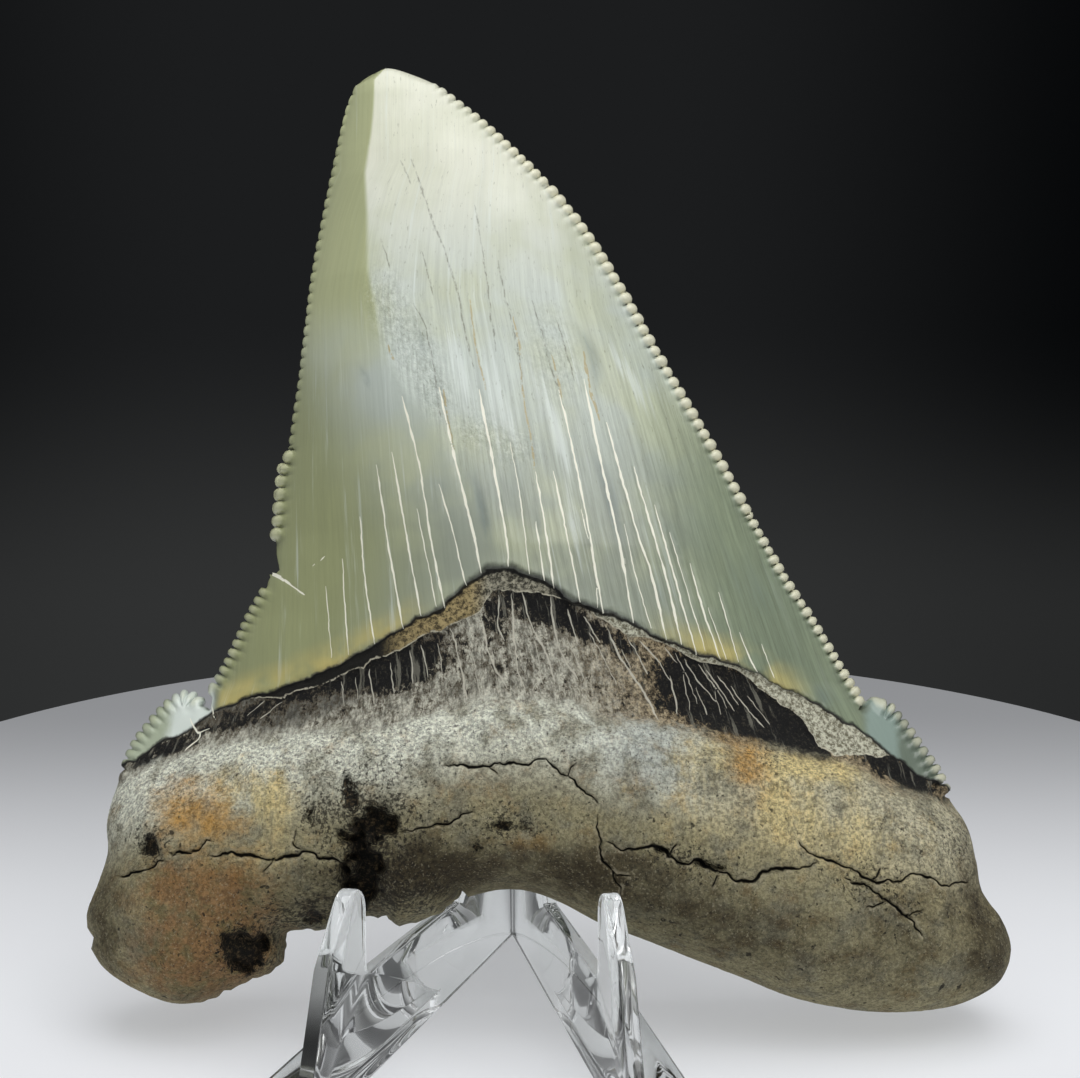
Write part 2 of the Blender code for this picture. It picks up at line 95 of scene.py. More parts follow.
# The size and height of each layer of lumps that makes a line ragged or a surface uneven
BROKEN_EDGE = ((0.7, 0.16), (0.35, 0.1))
ENAMEL_FRAY = ((0.9, 0.16), (0.35, 0.08))
FLAKE_FRAY = ((0.8, 0.22), (0.3, 0.12))
ENAMEL_GROOVES = ((1.3, 0.016), (0.45, 0.008))
ROOT_LUMPS = ((3.1, 0.16), (1.3, 0.09), (0.6, 0.04))
HOLLOW_RIM = ((1.3, 0.34), (0.6, 0.3), (0.3, 0.16))
BACK_ENAMEL_FRAY = ((1.1, 0.22), (0.4, 0.1))
BACK_GROOVES = ((1.3, 0.04),)
BACK_ROOT_LUMPS = ((3.1, 0.2), (1.3, 0.1), (0.6, 0.05))
GRAIN_HEIGHT = 0.09
GRAIN_SIZE = 0.55

# The easel's eased edges, and the angles between its faces, in degrees
EASED_EDGE = 0.12
MERGED_BELOW = 0.005
FLAT_BELOW = 1.0
EASED_ABOVE = 25.0
SHARP_ABOVE = 35.0

# The table top, with its painted glow and its painted fall-off of light towards the far edge, the room around
# it, and the camera
TABLE_MIDDLE = (-0.65, 56.9)
TABLE_HALF_WIDTH = 77.0
TABLE_FAR_REACH = 86.0
TABLE_NEAR = -260.0
TABLE_LEVELS = (-0.03, -12.0)
# How far back the table's painted fall-off of light reaches, and its painted glow near and far
TABLE_PAINTED_FALLOFF_BY = 110.0
TABLE_PAINTED_GLOW = (0.38, 0.386, 0.396, 1.0)
TABLE_FAR_PAINTED_GLOW = (0.1, 0.102, 0.105, 1.0)
ROOM_COLOUR = (0.36, 0.365, 0.37, 1.0)
CAMERA_PLACE = (-0.65, -143.11, 55.6)
CAMERA_DROP = math.radians(7.7)
SENSOR_WIDTH = 36.0
LENS = 67.03

# How often light may turn inside the clear easel, and how often it may pass between dull surfaces
CLEAR_BOUNCES = 16
SOFT_BOUNCES = 2

# The outline, anticlockwise as seen from the front, starting below the left cusplet.
# A serrated run says how far apart its beads are, how large they are and how far in they reach.
OUTLINE = [
    ("smooth", [(-31.3, 17.6), (-31.9, 15.5), (-32.1, 13.6), (-31.8, 11.6), (-32.3, 9.6), (-33.1, 7.4),
                (-33.1, 6.1)]),
    ("broken", [(-33.1, 6.1), (-32.6, 5.4), (-32.8, 4.6)]),
    ("smooth", [(-32.8, 4.6), (-31.7, 3.1), (-29.9, 1.9), (-27.9, 1.0), (-26.3, 0.6), (-24.8, 0.7)]),
    ("broken", [(-24.8, 0.7), (-22.0, 2.0), (-19.9, 2.7), (-19.1, 3.4), (-18.6, 4.5), (-18.8, 5.5),
                (-18.4, 5.9), (-15.5, 6.0), (-14.0, 6.7), (-13.3, 6.4), (-12.9, 6.9), (-11.4, 6.9),
                (-10.3, 6.2), (-9.2, 6.5), (-7.4, 7.0), (-6.1, 8.2), (-5.7, 8.7), (-5.3, 8.3)]),
    ("smooth", [(-5.3, 8.3), (-3.0, 8.8), (-0.8, 8.7), (1.5, 7.9), (4.4, 6.4), (7.4, 5.3), (11.0, 3.9),
                (14.7, 2.5), (18.3, 1.1), (22.0, 0.3), (25.6, 0.0), (29.3, 0.3), (31.8, 1.1), (33.6, 2.4),
                (34.4, 4.6), (33.8, 6.7), (32.4, 8.8), (32.1, 11.0), (31.7, 13.5), (30.4, 15.9)]),
    ((0.8, 0.75, 1.6), [(30.4, 15.9), (29.7, 17.8), (28.8, 19.3), (27.8, 21.0), (26.8, 22.3),
                        (25.8, 22.9)]),
    ("smooth", [(25.8, 22.9), (25.0, 22.8), (24.3, 22.4)]),
    ((0.78, 0.95, 1.0), [(24.3, 22.4), (23.9, 23.6), (22.8, 25.5), (20.7, 29.1), (18.6, 32.4),
                         (16.1, 37.0)]),
    ((0.94, 1.1, 1.05), [(16.1, 37.0), (14.3, 40.5), (11.8, 45.0), (9.0, 49.9), (6.2, 55.1), (3.5, 59.5),
                         (0.7, 63.1)]),
    ((0.83, 0.95, 1.0), [(0.7, 63.1), (-2.0, 65.8), (-4.9, 68.6), (-7.9, 71.0)]),
    ("smooth", [(-7.9, 71.0), (-9.6, 71.8), (-11.6, 72.3), (-13.2, 72.0), (-14.5, 71.1)]),
    ((0.86, 0.42, 0.5), [(-14.5, 71.1), (-15.3, 69.0), (-16.1, 65.0), (-16.9, 60.7), (-17.7, 55.9),
                         (-18.2, 51.1), (-18.7, 46.4), (-19.3, 42.0)]),
    ((1.04, 1.1, 1.2), [(-19.3, 42.0), (-20.0, 40.3), (-20.2, 38.2), (-20.3, 36.2), (-20.4, 34.9)]),
    ("broken", [(-20.4, 34.9), (-20.0, 33.6), (-19.7, 32.5), (-20.5, 32.1), (-21.0, 31.4)]),
    ((0.73, 0.66, 1.4), [(-21.0, 31.4), (-22.5, 28.9), (-23.4, 26.7), (-24.3, 25.0), (-25.0, 23.8)]),
    ("smooth", [(-25.0, 23.8), (-24.7, 22.9), (-24.8, 22.0), (-25.3, 22.6)]),
    ((0.8, 0.52, 1.5), [(-25.3, 22.6), (-26.0, 23.3), (-27.1, 23.5), (-28.5, 22.6), (-29.7, 21.2),
                        (-30.8, 19.6), (-31.3, 17.6)]),
]

# Lines across the front, from left to right
ENAMEL_LINE = [(-31.3, 17.8), (-30.1, 18.3), (-28.8, 19.3), (-26.2, 20.5), (-24.2, 21.8), (-22.2, 22.7),
               (-19.2, 23.4), (-16.4, 24.4), (-13.5, 25.7), (-10.7, 27.3), (-8.8, 28.4), (-7.0, 29.3),
               (-5.1, 31.0), (-4.0, 31.9), (-2.3, 32.1), (-1.0, 31.7), (0.4, 31.0), (2.3, 29.7), (4.1, 29.1),
               (6.6, 28.2), (8.9, 27.0), (11.2, 26.1), (13.6, 25.5), (15.7, 24.7), (18.1, 23.4), (19.4, 23.0),
               (21.7, 21.5), (23.2, 20.9), (24.8, 19.6), (27.8, 17.3), (30.4, 15.9)]
FLAKE_LINE = [(-20.5, 22.9), (-19.0, 22.8), (-16.4, 23.7), (-14.1, 24.4), (-12.1, 25.4), (-9.9, 26.2),
              (-8.4, 27.1), (-6.6, 27.9), (-5.1, 28.7), (-4.2, 28.9), (-3.7, 30.0), (-3.3, 30.4),
              (-1.2, 30.6), (0.7, 30.2), (2.5, 29.5), (4.1, 28.6), (6.2, 27.4), (9.1, 26.7), (11.3, 25.7),
              (15.0, 24.6), (16.5, 23.3), (17.8, 22.3), (19.2, 21.2), (20.1, 19.9), (20.4, 19.0),
              (22.1, 18.5), (24.3, 18.6)]
TONGUE_TOP = [(13.0, 25.4), (14.0, 25.2), (16.5, 24.6), (19.3, 23.0), (22.0, 20.9), (23.9, 20.2),
              (24.6, 19.1)]
TONGUE_SPAN = (12.5, 24.7)
COLLAR_LINE = [(-31.3, 17.2), (-29.4, 18.1), (-26.4, 18.9), (-23.7, 19.8), (-21.2, 20.1), (-18.2, 20.6),
               (-14.4, 21.0), (-10.6, 21.1), (-6.9, 22.2), (-3.8, 22.8), (-1.2, 22.9), (1.7, 22.6),
               (5.0, 21.5), (8.5, 21.1), (12.2, 20.4), (15.7, 19.9), (17.9, 19.2), (20.3, 18.8),
               (23.3, 18.1), (24.9, 16.8), (27.0, 16.3), (30.4, 15.5)]
BACK_ENAMEL_LINE = [(-31.3, 17.4), (-26.0, 17.6), (-20.0, 16.6), (-12.0, 17.4), (-4.0, 19.4), (4.0, 18.4),
                    (12.0, 16.8), (20.0, 15.8), (26.0, 16.2), (30.4, 15.7)]

# The crown's edges without their beads, and how its front swells: each is height b, then the value there
CROWN_LEFT = [(16, -36), (24, -25), (29, -22.5), (35, -20.4), (42, -19.3), (55, -17.8), (65, -16),
              (71, -14.5), (72.3, -12.5)]
CROWN_RIGHT = [(16, 36), (24, 23.8), (32.4, 18.6), (40.5, 14.3), (49.9, 9), (59.5, 3.5), (65.8, -2),
               (71, -7.9), (72.3, -11)]
CROWN_CREST = [(34, -0.1), (42, -0.3), (48, -0.5), (55, -0.6), (63, -0.65), (72, -0.5)]
CROWN_KEENNESS = [(40, 2.0), (52, 1.3), (60, 1.1)]
CROWN_SWELL = [(10, 8.2), (24, 7.8), (34, 7.0), (45, 5.7), (55, 4.3), (65, 2.7), (70, 1.6), (72.3, 0.5)]
CREST_FALL = 1.9
LENS_FULLNESS = 0.85
LAND_RISE = 0.3
LAND_WIDTH = 0.4
CUSPLET_SWELL = 1.5
CUSPLET_ROUND = 0.9
CUSPLETS_FROM = (23.5, 25.0)

# How far the enamel's streaks have drifted to the right at each height, and how they are drawn out
STREAK_SHIFT = [(20, 8.4), (28, 6.6), (35, 5.0), (43, 3.4), (48.6, 2.2), (53, 1.1), (62, 0.3), (72, 0.0)]
STREAK_STRETCH = 0.06

# The root's front: the height of its fullest line at each distance from the middle, and how it falls from it
ROOT_SPAN = 30.0
ROOT_RIDGE = [(0, 13.5), (10, 12.0), (20, 10.2), (30, 9.0)]
ROOT_SWELL = (10.9, 3.0)
ROOT_FALL = (2.4, 4.2)
ROOT_FALL_REACH = 10.0
ROOT_WAVES = (0.22, 0.12)

# The back: the crown's shallow swell, and the root's, which is fuller at its lobes
BACK_CROWN_SWELL = (0.6, 1.5)
BACK_ENAMEL_STEP = 0.3
BACK_ROOT_SWELL = 3.2
LOBE_SWELL = 0.9
LOBE_MIDDLE = 21.0
LOBE_REACH = 8.0

# How deep the cracks are, and how far each kind of line wanders to both sides
HAIR_DEPTH = 0.03
BAND_CRACK_DEPTH = 0.05
CRACK_DEPTH = 0.5
HAIR_WANDER = 0.03
BAND_WANDER = 0.06
CRACK_WANDER = 0.17
SCRATCH_WANDER = 0.05

# What a field says where there is nothing of its kind
NOWHERE = -9.0

# Filled cracks in the enamel, from the top down, with the width of each
HAIRLINES = [
    (0.08, [(-13.3, 36.1), (-12.8, 31.3), (-12.0, 26.6)]),
    (0.10, [(-12.1, 39.9), (-11.1, 33.9), (-10.0, 28.2), (-9.9, 27.7)]),
    (0.10, [(-10.9, 40.8), (-9.7, 34.2), (-8.6, 28.5)]),
    (0.13, [(-10.2, 45.0), (-8.9, 39.9), (-8.0, 34.4), (-7.0, 29.6), (-6.9, 29.3)]),
    (0.15, [(-7.5, 45.7), (-6.1, 39.7), (-4.9, 34.8), (-4.3, 31.9), (-4.2, 31.6)]),
    (0.14, [(-4.5, 45.6), (-3.3, 39.1), (-2.4, 33.9), (-2.3, 32.1)]),
    (0.10, [(-0.3, 39.3), (0.4, 34.9), (1.0, 30.6)]), (0.08, [(-0.3, 35.5), (0.3, 31.0)]),
    (0.12, [(1.4, 45.8), (2.5, 40.8), (3.6, 34.9), (4.5, 29.3), (4.6, 28.9)]),
    (0.15, [(3.3, 46.8), (4.6, 39.9), (5.9, 33.5), (6.7, 28.6), (6.8, 28.1)]),
    (0.13, [(5.0, 43.4), (7.1, 35.1), (8.2, 31.7), (9.1, 27.3), (9.2, 26.9)]),
    (0.12, [(7.0, 40.0), (8.3, 35.1), (9.5, 30.5), (10.3, 26.6)]),
    (0.11, [(8.5, 37.1), (9.7, 32.3), (11.3, 26.4), (11.4, 26.0)]),
    (0.09, [(11.1, 32.7), (12.0, 29.2), (13.0, 26.1), (13.2, 25.6)]),
    (0.07, [(14.7, 27.6), (15.7, 25.2), (16.0, 24.7)]),
    (0.08, [(-7.4, 38.3), (-6.4, 34.9), (-5.5, 31.3), (-5.3, 30.7)]),
    (0.09, [(1.0, 39.4), (1.9, 34.9), (2.8, 30.2), (2.9, 29.5)]),
    (0.06, [(-14.6, 33.0), (-14.3, 29.6), (-13.9, 25.7)]),
    (0.05, [(-9.0, 36.5), (-8.2, 32.6), (-7.5, 29.1)]), (0.05, [(-2.2, 41.5), (-1.4, 37.0), (-0.8, 31.6)]),
    (0.05, [(3.0, 36.5), (3.9, 32.5), (4.2, 29.2)]), (0.05, [(6.2, 35.5), (7.0, 31.6), (8.1, 27.7)]),
    (0.05, [(9.6, 35.0), (10.9, 30.3), (12.1, 26.1)]), (0.05, [(13.2, 30.6), (14.6, 25.4)]),
    (0.04, [(-15.8, 31.0), (-15.2, 25.6)]), (0.04, [(12.4, 29.4), (13.7, 25.5)]),
    (0.04, [(16.4, 26.8), (17.3, 24.2)]), (0.2, [(-20.4, 32.4), (-19.6, 32.0), (-18.6, 31.3)]),
    (0.08, [(-19.4, 31.9), (-18.4, 31.1), (-17.4, 30.4)]), (0.06, [(-16.3, 33.0), (-16.0, 33.3)]),
    (0.06, [(-16.9, 32.6), (-16.7, 32.8)]),
    (0.09, [(-26.1, 21.4), (-25.5, 20.5), (-25.1, 20.0), (-26.2, 18.9)]),
    (0.06, [(-24.6, 22.5), (-24.0, 21.2)]), (0.05, [(-25.3, 20.2), (-24.3, 20.6)]),
]

# Pale cracks in the band below the enamel
BAND_CRACKS = [
    (0.11, [(-6.5, 27.7), (-5.8, 25.4), (-5.2, 22.4)]), (0.11, [(-4.3, 28.5), (-3.6, 25.7), (-2.3, 23.2)]),
    (0.08, [(-3.0, 30.1), (-3.0, 27.8), (-2.5, 26.7)]),
    (0.10, [(-2.1, 30.2), (-2.0, 29.4), (-1.7, 25.2), (-1.1, 23.2)]),
    (0.11, [(-1.3, 30.4), (-0.7, 28.2), (0.5, 25.7), (1.1, 23.8)]),
    (0.10, [(0.8, 30.0), (1.2, 26.7), (2.7, 23.9)]), (0.08, [(2.0, 29.1), (2.7, 26.5)]),
    (0.08, [(3.2, 28.6), (4.4, 26.6)]), (0.12, [(4.9, 27.7), (5.8, 25.6), (7.6, 22.9), (8.5, 21.0)]),
    (0.08, [(6.4, 27.1), (7.9, 24.4)]), (0.08, [(7.3, 26.9), (8.2, 25.9), (9.5, 24.0)]),
    (0.07, [(9.1, 26.4), (10.0, 25.3)]), (0.08, [(9.5, 24.3), (10.0, 21.4)]),
    (0.08, [(10.6, 25.6), (11.5, 24.0), (12.9, 22.4)]), (0.07, [(12.2, 24.8), (13.4, 23.0), (14.2, 21.8)]),
    (0.07, [(11.4, 23.4), (12.1, 21.4)]), (0.07, [(14.0, 23.6), (15.2, 21.9), (16.4, 20.6)]),
    (0.06, [(-9.4, 26.1), (-9.1, 23.7)]), (0.06, [(-8.6, 26.5), (-8.0, 24.1)]),
    (0.06, [(-12.4, 24.8), (-12.0, 22.2)]), (0.05, [(-14.5, 23.9), (-14.1, 22.0)]),
    (0.05, [(-10.9, 25.2), (-10.5, 22.9)]), (0.05, [(9.9, 26.0), (11.0, 23.6), (11.4, 22.2)]),
    (0.05, [(11.6, 25.2), (13.2, 22.9), (13.6, 21.9)]), (0.05, [(13.0, 24.4), (14.6, 22.2)]),
    (0.04, [(10.4, 24.6), (10.9, 21.8)]), (0.04, [(12.6, 23.9), (13.2, 21.4)]),
    (0.05, [(15.2, 22.9), (16.9, 20.8)]), (0.04, [(5.9, 26.2), (7.0, 23.8)]),
    (0.05, [(3.6, 27.4), (5.6, 23.6)]), (0.04, [(1.9, 27.0), (3.2, 23.9)]),
    (0.04, [(-0.4, 26.8), (0.2, 23.6)]), (0.04, [(-3.4, 26.2), (-3.0, 23.0)]),
    (0.04, [(-5.0, 26.4), (-4.3, 22.8)]), (0.04, [(-7.4, 26.6), (-7.0, 24.4)]),
    (0.04, [(-13.4, 24.2), (-13.2, 22.6)]), (0.05, [(-18.9, 22.5), (-20.6, 21.2)]),
    (0.04, [(-20.3, 22.6), (-21.6, 21.4)]),
]

# Open cracks in the root, with the width of each
ROOT_CRACKS = [
    (0.13, [(-29.9, 9.9), (-28.3, 10.4), (-26.7, 11.2)]),
    (0.12, [(-26.1, 11.7), (-24.8, 11.7), (-23.2, 12.4)]),
    (0.17, [(-23.0, 11.3), (-22.0, 11.7), (-19.3, 11.3), (-17.5, 11.3), (-16.3, 11.8), (-14.8, 11.3),
            (-13.9, 10.9)]),
    (0.10, [(-9.5, 13.2), (-6.7, 13.7), (-4.6, 14.5)]),
    (0.13, [(-6.6, 17.9), (-4.4, 17.8), (-2.7, 18.1), (-1.2, 17.9), (0.2, 18.0), (1.7, 17.2), (2.9, 16.1),
            (4.0, 15.2)]),
    (0.10, [(4.1, 14.1), (4.2, 11.4), (4.9, 10.5), (5.4, 9.5), (5.6, 8.8)]),
    (0.17, [(4.7, 12.3), (6.3, 11.8), (8.2, 12.0), (9.8, 11.1), (11.4, 11.0), (13.6, 9.8), (14.9, 9.8),
            (15.6, 10.4), (17.5, 10.7), (19.4, 11.0)]),
    (0.14, [(18.2, 12.4), (19.5, 11.4), (20.9, 10.8), (22.4, 10.4), (23.4, 9.7), (25.5, 9.8), (27.0, 10.0),
            (28.9, 9.4), (31.0, 9.6)]),
    (0.13, [(21.4, 10.0), (23.4, 9.0), (24.7, 8.1), (25.9, 7.0), (26.8, 5.8)]),
    (0.07, [(-18.6, 11.3), (-19.4, 10.4)]), (0.08, [(-16.6, 11.7), (-17.4, 12.5), (-17.2, 13.1)]),
    (0.07, [(9.0, 11.4), (9.6, 12.4)]), (0.08, [(12.4, 10.3), (12.0, 9.3)]),
    (0.06, [(1.9, 17.1), (2.4, 17.9)]), (0.08, [(24.2, 8.4), (22.9, 7.9)]),
    (0.07, [(23.2, 9.8), (23.9, 10.7)]), (0.06, [(5.0, 10.4), (6.2, 10.1)]),
    (0.07, [(-3.6, 17.9), (-3.0, 17.2)]), (0.06, [(25.6, 7.3), (26.8, 7.5)]),
]

# Hollows where the root broke, and pits: middle, half sizes, turn in degrees and depth
HOLLOWS = [
    ((-12.4, 10.6), (1.5, 3.3), -8.0, 2.6), ((-11.6, 13.4), (1.7, 1.3), 20.0, 1.6),
    ((-13.3, 15.4), (0.6, 1.6), 10.0, 0.7), ((-21.0, 4.4), (1.6, 1.8), 30.0, 1.5),
    ((-27.7, 12.2), (0.8, 0.7), 0.0, 0.6), ((-16.1, 7.0), (0.9, 0.6), 0.0, 0.8),
    ((-2.6, 13.6), (0.9, 0.35), 4.0, 0.6), ((-1.2, 13.5), (0.55, 0.4), 0.0, 0.6),
    ((-4.4, 12.1), (0.35, 0.3), 0.0, 0.4), ((-16.2, 14.2), (0.25, 0.7), 8.0, 0.5),
    ((11.9, 10.9), (1.1, 0.28), -14.0, 0.8), ((8.4, 11.9), (0.6, 0.3), 0.0, 0.6),
]

# Fine dark and golden scratches in the enamel
SCRATCHES = [
    (0.10, [(-9.9, 64.1), (-8.8, 60.9), (-7.9, 58.3), (-7.0, 55.9), (-6.2, 53.0), (-5.5, 49.6),
            (-4.9, 47.2)]),
    (0.08, [(-4.4, 56.8), (-4.0, 54.2), (-3.7, 51.6), (-3.3, 48.6)]),
    (0.11, [(-3.2, 56.0), (-2.6, 53.0), (-2.1, 51.0), (-1.5, 47.8), (-1.3, 45.5)]),
    (0.09, [(-0.6, 52.9), (0.1, 50.5), (0.7, 48.0), (1.4, 45.8), (1.9, 44.2)]),
    (0.08, [(-9.5, 52.3), (-8.4, 49.8), (-7.3, 43.3)]), (0.08, [(1.2, 51.6), (2.0, 48.9), (2.6, 46.6)]),
    (0.07, [(-10.7, 64.0), (-9.8, 61.9)]), (0.06, [(-5.0, 60.5), (-4.4, 57.0)]),
    (0.06, [(-12.0, 57.4), (-11.3, 55.0)]), (0.06, [(-8.9, 56.5), (-8.0, 53.0)]),
]
GOLDEN_SCRATCHES = [
    (0.16, [(3.3, 49.0), (3.7, 46.4), (4.5, 43.5)]), (0.09, [(-7.2, 45.5), (-6.7, 42.8), (-6.2, 40.9)]),
    (0.10, [(-1.5, 47.8), (-1.3, 45.5), (-0.7, 42.1), (-0.4, 39.5)]),
    (0.14, [(-11.3, 49.0), (-10.9, 47.7)]), (0.07, [(-5.3, 52.7), (-4.8, 49.1), (-4.0, 45.5)]),
    (0.10, [(-2.0, 51.5), (-1.4, 48.4)]), (0.08, [(0.9, 48.6), (1.7, 45.0)]),
]

# Soft streaks down the enamel: half width, strength and course
SLATE_STREAKS = [
    (0.5, 0.8, [(1.5, 52.8), (3.8, 49.2), (4.4, 46.0), (5.0, 43.6)]),
    (0.5, 1.0, [(3.0, 43.8), (4.8, 38.8), (6.1, 33.5), (6.8, 30.6)]),
    (0.5, 0.9, [(-5.7, 42.0), (-4.1, 36.0), (-3.2, 31.6)]), (0.3, 0.9, [(-13.6, 48.2), (-12.4, 45.0)]),
    (1.5, 0.6, [(13.2, 36.0), (16.4, 30.2), (19.0, 26.0)]), (0.5, 0.7, [(-9.9, 53.0), (-8.2, 46.6)]),
    (0.35, 0.7, [(-0.2, 51.0), (1.6, 46.0)]), (0.6, 0.5, [(7.3, 32.8), (10.2, 28.0)]),
    (0.45, 0.6, [(-0.6, 37.8), (0.4, 32.4)]), (0.4, 0.5, [(-9.6, 40.0), (-7.9, 31.6)]),
    (0.5, 0.45, [(-2.6, 40.4), (-1.4, 33.0)]), (0.4, 0.5, [(9.0, 38.0), (11.2, 30.4)]),
    (0.9, 0.8, [(19.6, 24.6), (22.6, 21.4)]),
]
# Painted sheen: pale streaks that stand in for the enamel's highlights
PAINTED_SHEEN_STREAKS = [
    (0.6, 1.0, [(3.6, 52.4), (7.1, 46.7), (9.6, 42.0)]),
    (0.6, 1.0, [(-0.8, 49.0), (1.0, 43.3), (3.4, 36.1)]),
    (0.8, 0.9, [(-4.7, 51.8), (-2.4, 43.1), (-0.7, 36.5)]),
    (0.6, 0.7, [(-7.9, 53.6), (-5.8, 46.3), (-4.4, 41.0)]), (0.8, 0.6, [(-7.2, 59.0), (-5.2, 50.3)]),
    (0.45, 0.7, [(1.6, 40.4), (2.7, 34.0), (3.2, 30.8)]), (0.5, 0.5, [(-8.9, 41.5), (-7.2, 34.5)]),
]

# Colour in the tooth: middle, half sizes, turn in degrees and strength
BLACK_PATCHES = [
    ((-20.0, 22.4), (3.6, 0.5), 14.0, 0.55), ((-14.2, 23.9), (2.6, 0.9), 17.0, 0.75),
    ((-10.0, 25.2), (2.9, 1.6), 24.0, 1.05), ((0.2, 29.3), (2.9, 1.2), -24.0, 0.9),
    ((4.4, 27.3), (3.0, 0.8), -26.0, 0.6), ((12.2, 23.2), (3.3, 2.1), -20.0, 1.3),
    ((16.3, 21.3), (3.4, 1.7), -24.0, 1.2), ((19.4, 19.7), (1.8, 1.1), -28.0, 1.0),
    ((-27.8, 19.0), (2.8, 0.6), 20.0, 0.9), ((26.6, 17.4), (3.0, 0.9), -32.0, 1.0),
    ((-3.2, 28.4), (0.9, 1.9), 0.0, 0.6), ((-22.6, 20.9), (2.4, 0.5), 12.0, 0.5),
]
ORANGE_STAINS = [
    ((-25.2, 14.6), (2.5, 2.1), 0.0, 1.0), ((-22.2, 13.4), (1.6, 1.4), 0.0, 0.6),
    ((14.9, 18.0), (1.4, 2.6), 8.0, 0.9), ((-23.0, 10.2), (3.6, 1.2), 0.0, 0.5),
    ((13.2, 20.0), (1.4, 0.8), 0.0, 0.5), ((-14.6, 22.4), (1.0, 0.5), 20.0, 0.5),
    ((-0.4, 12.4), (2.4, 0.8), 0.0, 0.4), ((8.4, 25.0), (1.2, 0.8), 0.0, 0.35),
]
YELLOW_STAINS = [
    ((20.2, 17.7), (3.2, 0.9), -6.0, 1.0), ((16.8, 15.4), (1.5, 3.2), 0.0, 0.8),
    ((19.4, 13.9), (1.0, 2.6), 4.0, 0.6), ((22.4, 14.4), (1.2, 2.8), 6.0, 0.5),
    ((12.0, 18.6), (2.6, 1.5), 0.0, 0.55), ((-21.4, 16.2), (2.6, 2.2), 0.0, 0.55),
    ((-18.4, 14.8), (1.6, 2.4), 0.0, 0.6), ((-19.2, 11.0), (3.0, 1.2), 0.0, 0.4),
    ((10.4, 14.6), (4.0, 2.6), 0.0, 0.35), ((23.4, 12.4), (5.0, 2.0), 0.0, 0.35),
]
RUST_STAINS = [
    ((-23.8, 6.6), (4.8, 4.6), 0.0, 1.2), ((-24.6, 3.2), (4.4, 2.2), 0.0, 0.7),
    ((-20.6, 8.8), (2.6, 2.0), 0.0, 0.5), ((-26.4, 9.8), (2.6, 1.6), 0.0, 0.5),
    ((6.2, 17.0), (2.2, 1.6), 0.0, 0.3), ((-3.4, 15.8), (3.0, 1.4), 0.0, 0.35),
]
DARK_STAINS = [
    ((0.0, 10.4), (7.0, 2.2), 0.0, 0.75), ((9.0, 8.4), (7.0, 2.6), -16.0, 0.75),
    ((22.0, 4.0), (9.0, 3.6), -6.0, 0.6), ((32.6, 6.0), (2.4, 5.0), 0.0, 0.8),
    ((-14.0, 8.8), (4.6, 2.6), 0.0, 0.8), ((-31.4, 6.6), (2.0, 5.0), 0.0, 0.8),
    ((-24.0, 1.2), (4.6, 1.0), 0.0, 0.5), ((-7.4, 10.6), (3.4, 2.4), 0.0, 0.8),
    ((27.4, 8.4), (4.0, 2.6), 0.0, 0.5), ((-10.4, 14.6), (2.6, 2.6), 0.0, 0.4),
    ((31.0, 13.0), (1.4, 3.0), 0.0, 0.4),
]
RIPPLE_PATCHES = [
    ((-11.4, 52.4), (1.3, 2.4), 14.0, 1.0), ((-9.2, 48.4), (1.6, 2.8), 20.0, 1.0),
    ((-7.6, 45.0), (1.0, 1.8), 14.0, 0.8), ((-4.6, 42.4), (1.4, 1.3), 0.0, 1.0),
    ((-1.8, 41.2), (1.4, 1.2), 0.0, 1.0), ((1.0, 48.8), (1.6, 3.4), 12.0, 0.8),
]
PEPPERED = [
    ((-11.6, 12.4), (3.8, 5.0), -8.0, 1.3), ((-27.7, 12.4), (1.6, 1.4), 0.0, 1.0),
    ((-2.4, 13.6), (2.8, 1.2), 4.0, 1.1), ((-19.8, 4.6), (3.2, 2.8), 0.0, 1.1),
    ((10.0, 11.2), (3.6, 1.2), -14.0, 0.9), ((-16.4, 7.4), (2.6, 1.2), 0.0, 1.1),
    ((23.0, 9.6), (3.0, 1.6), -20.0, 0.9), ((-9.0, 8.4), (3.2, 1.8), 0.0, 0.9),
    ((30.4, 12.4), (1.6, 2.0), 0.0, 0.7), ((-15.6, 14.8), (1.4, 1.6), 0.0, 0.8),
    ((16.6, 18.6), (1.4, 1.2), 0.0, 0.7),
]


def even_line(points, step, rounded=True):
    """Evenly spaced points, at about the given step, along a line through a few points."""
    corners = np.array(points, float)
    if rounded and len(corners) > 2:
        ends = np.vstack([2 * corners[0] - corners[1], corners, 2 * corners[-1] - corners[-2]])
        fine = [corners[0]]
        for p, q, r, s in zip(ends, ends[1:], ends[2:], ends[3:]):
            for t in np.linspace(0.0, 1.0, 11)[1:]:
                bend = (2 * p - 5 * q + 4 * r - s) * t * t + (3 * q - p - 3 * r + s) * t ** 3
                fine.append(0.5 * (2 * q + (r - p) * t + bend))
        corners = np.array(fine)
    length = np.concatenate([[0.0], np.cumsum(np.hypot(*np.diff(corners, axis=0).T))])
    count = max(1, round(length[-1] / step))
    where = np.linspace(0.0, length[-1], count + 1)
    return np.column_stack([np.interp(where, length, corners[:, k]) for k in (0, 1)])


def outward(line):
    """Unit vectors to the right of an open line's direction, which is outwards here."""
    run = np.gradient(line, axis=0)
    run /= np.hypot(*run.T)[:, None]
    return np.column_stack([run[:, 1], -run[:, 0]])


def ease(x, low, high):
    """0 below low and 1 above high, with a smooth rise between."""
    t = np.clip((x - low) / (high - low), 0.0, 1.0)
    return t * t * (3.0 - 2.0 * t)


def read_at(line, x):
    """The value that a line of (x, value) points has at each x."""
    points = np.array(line)
    return np.interp(x, points[:, 0], points[:, 1])


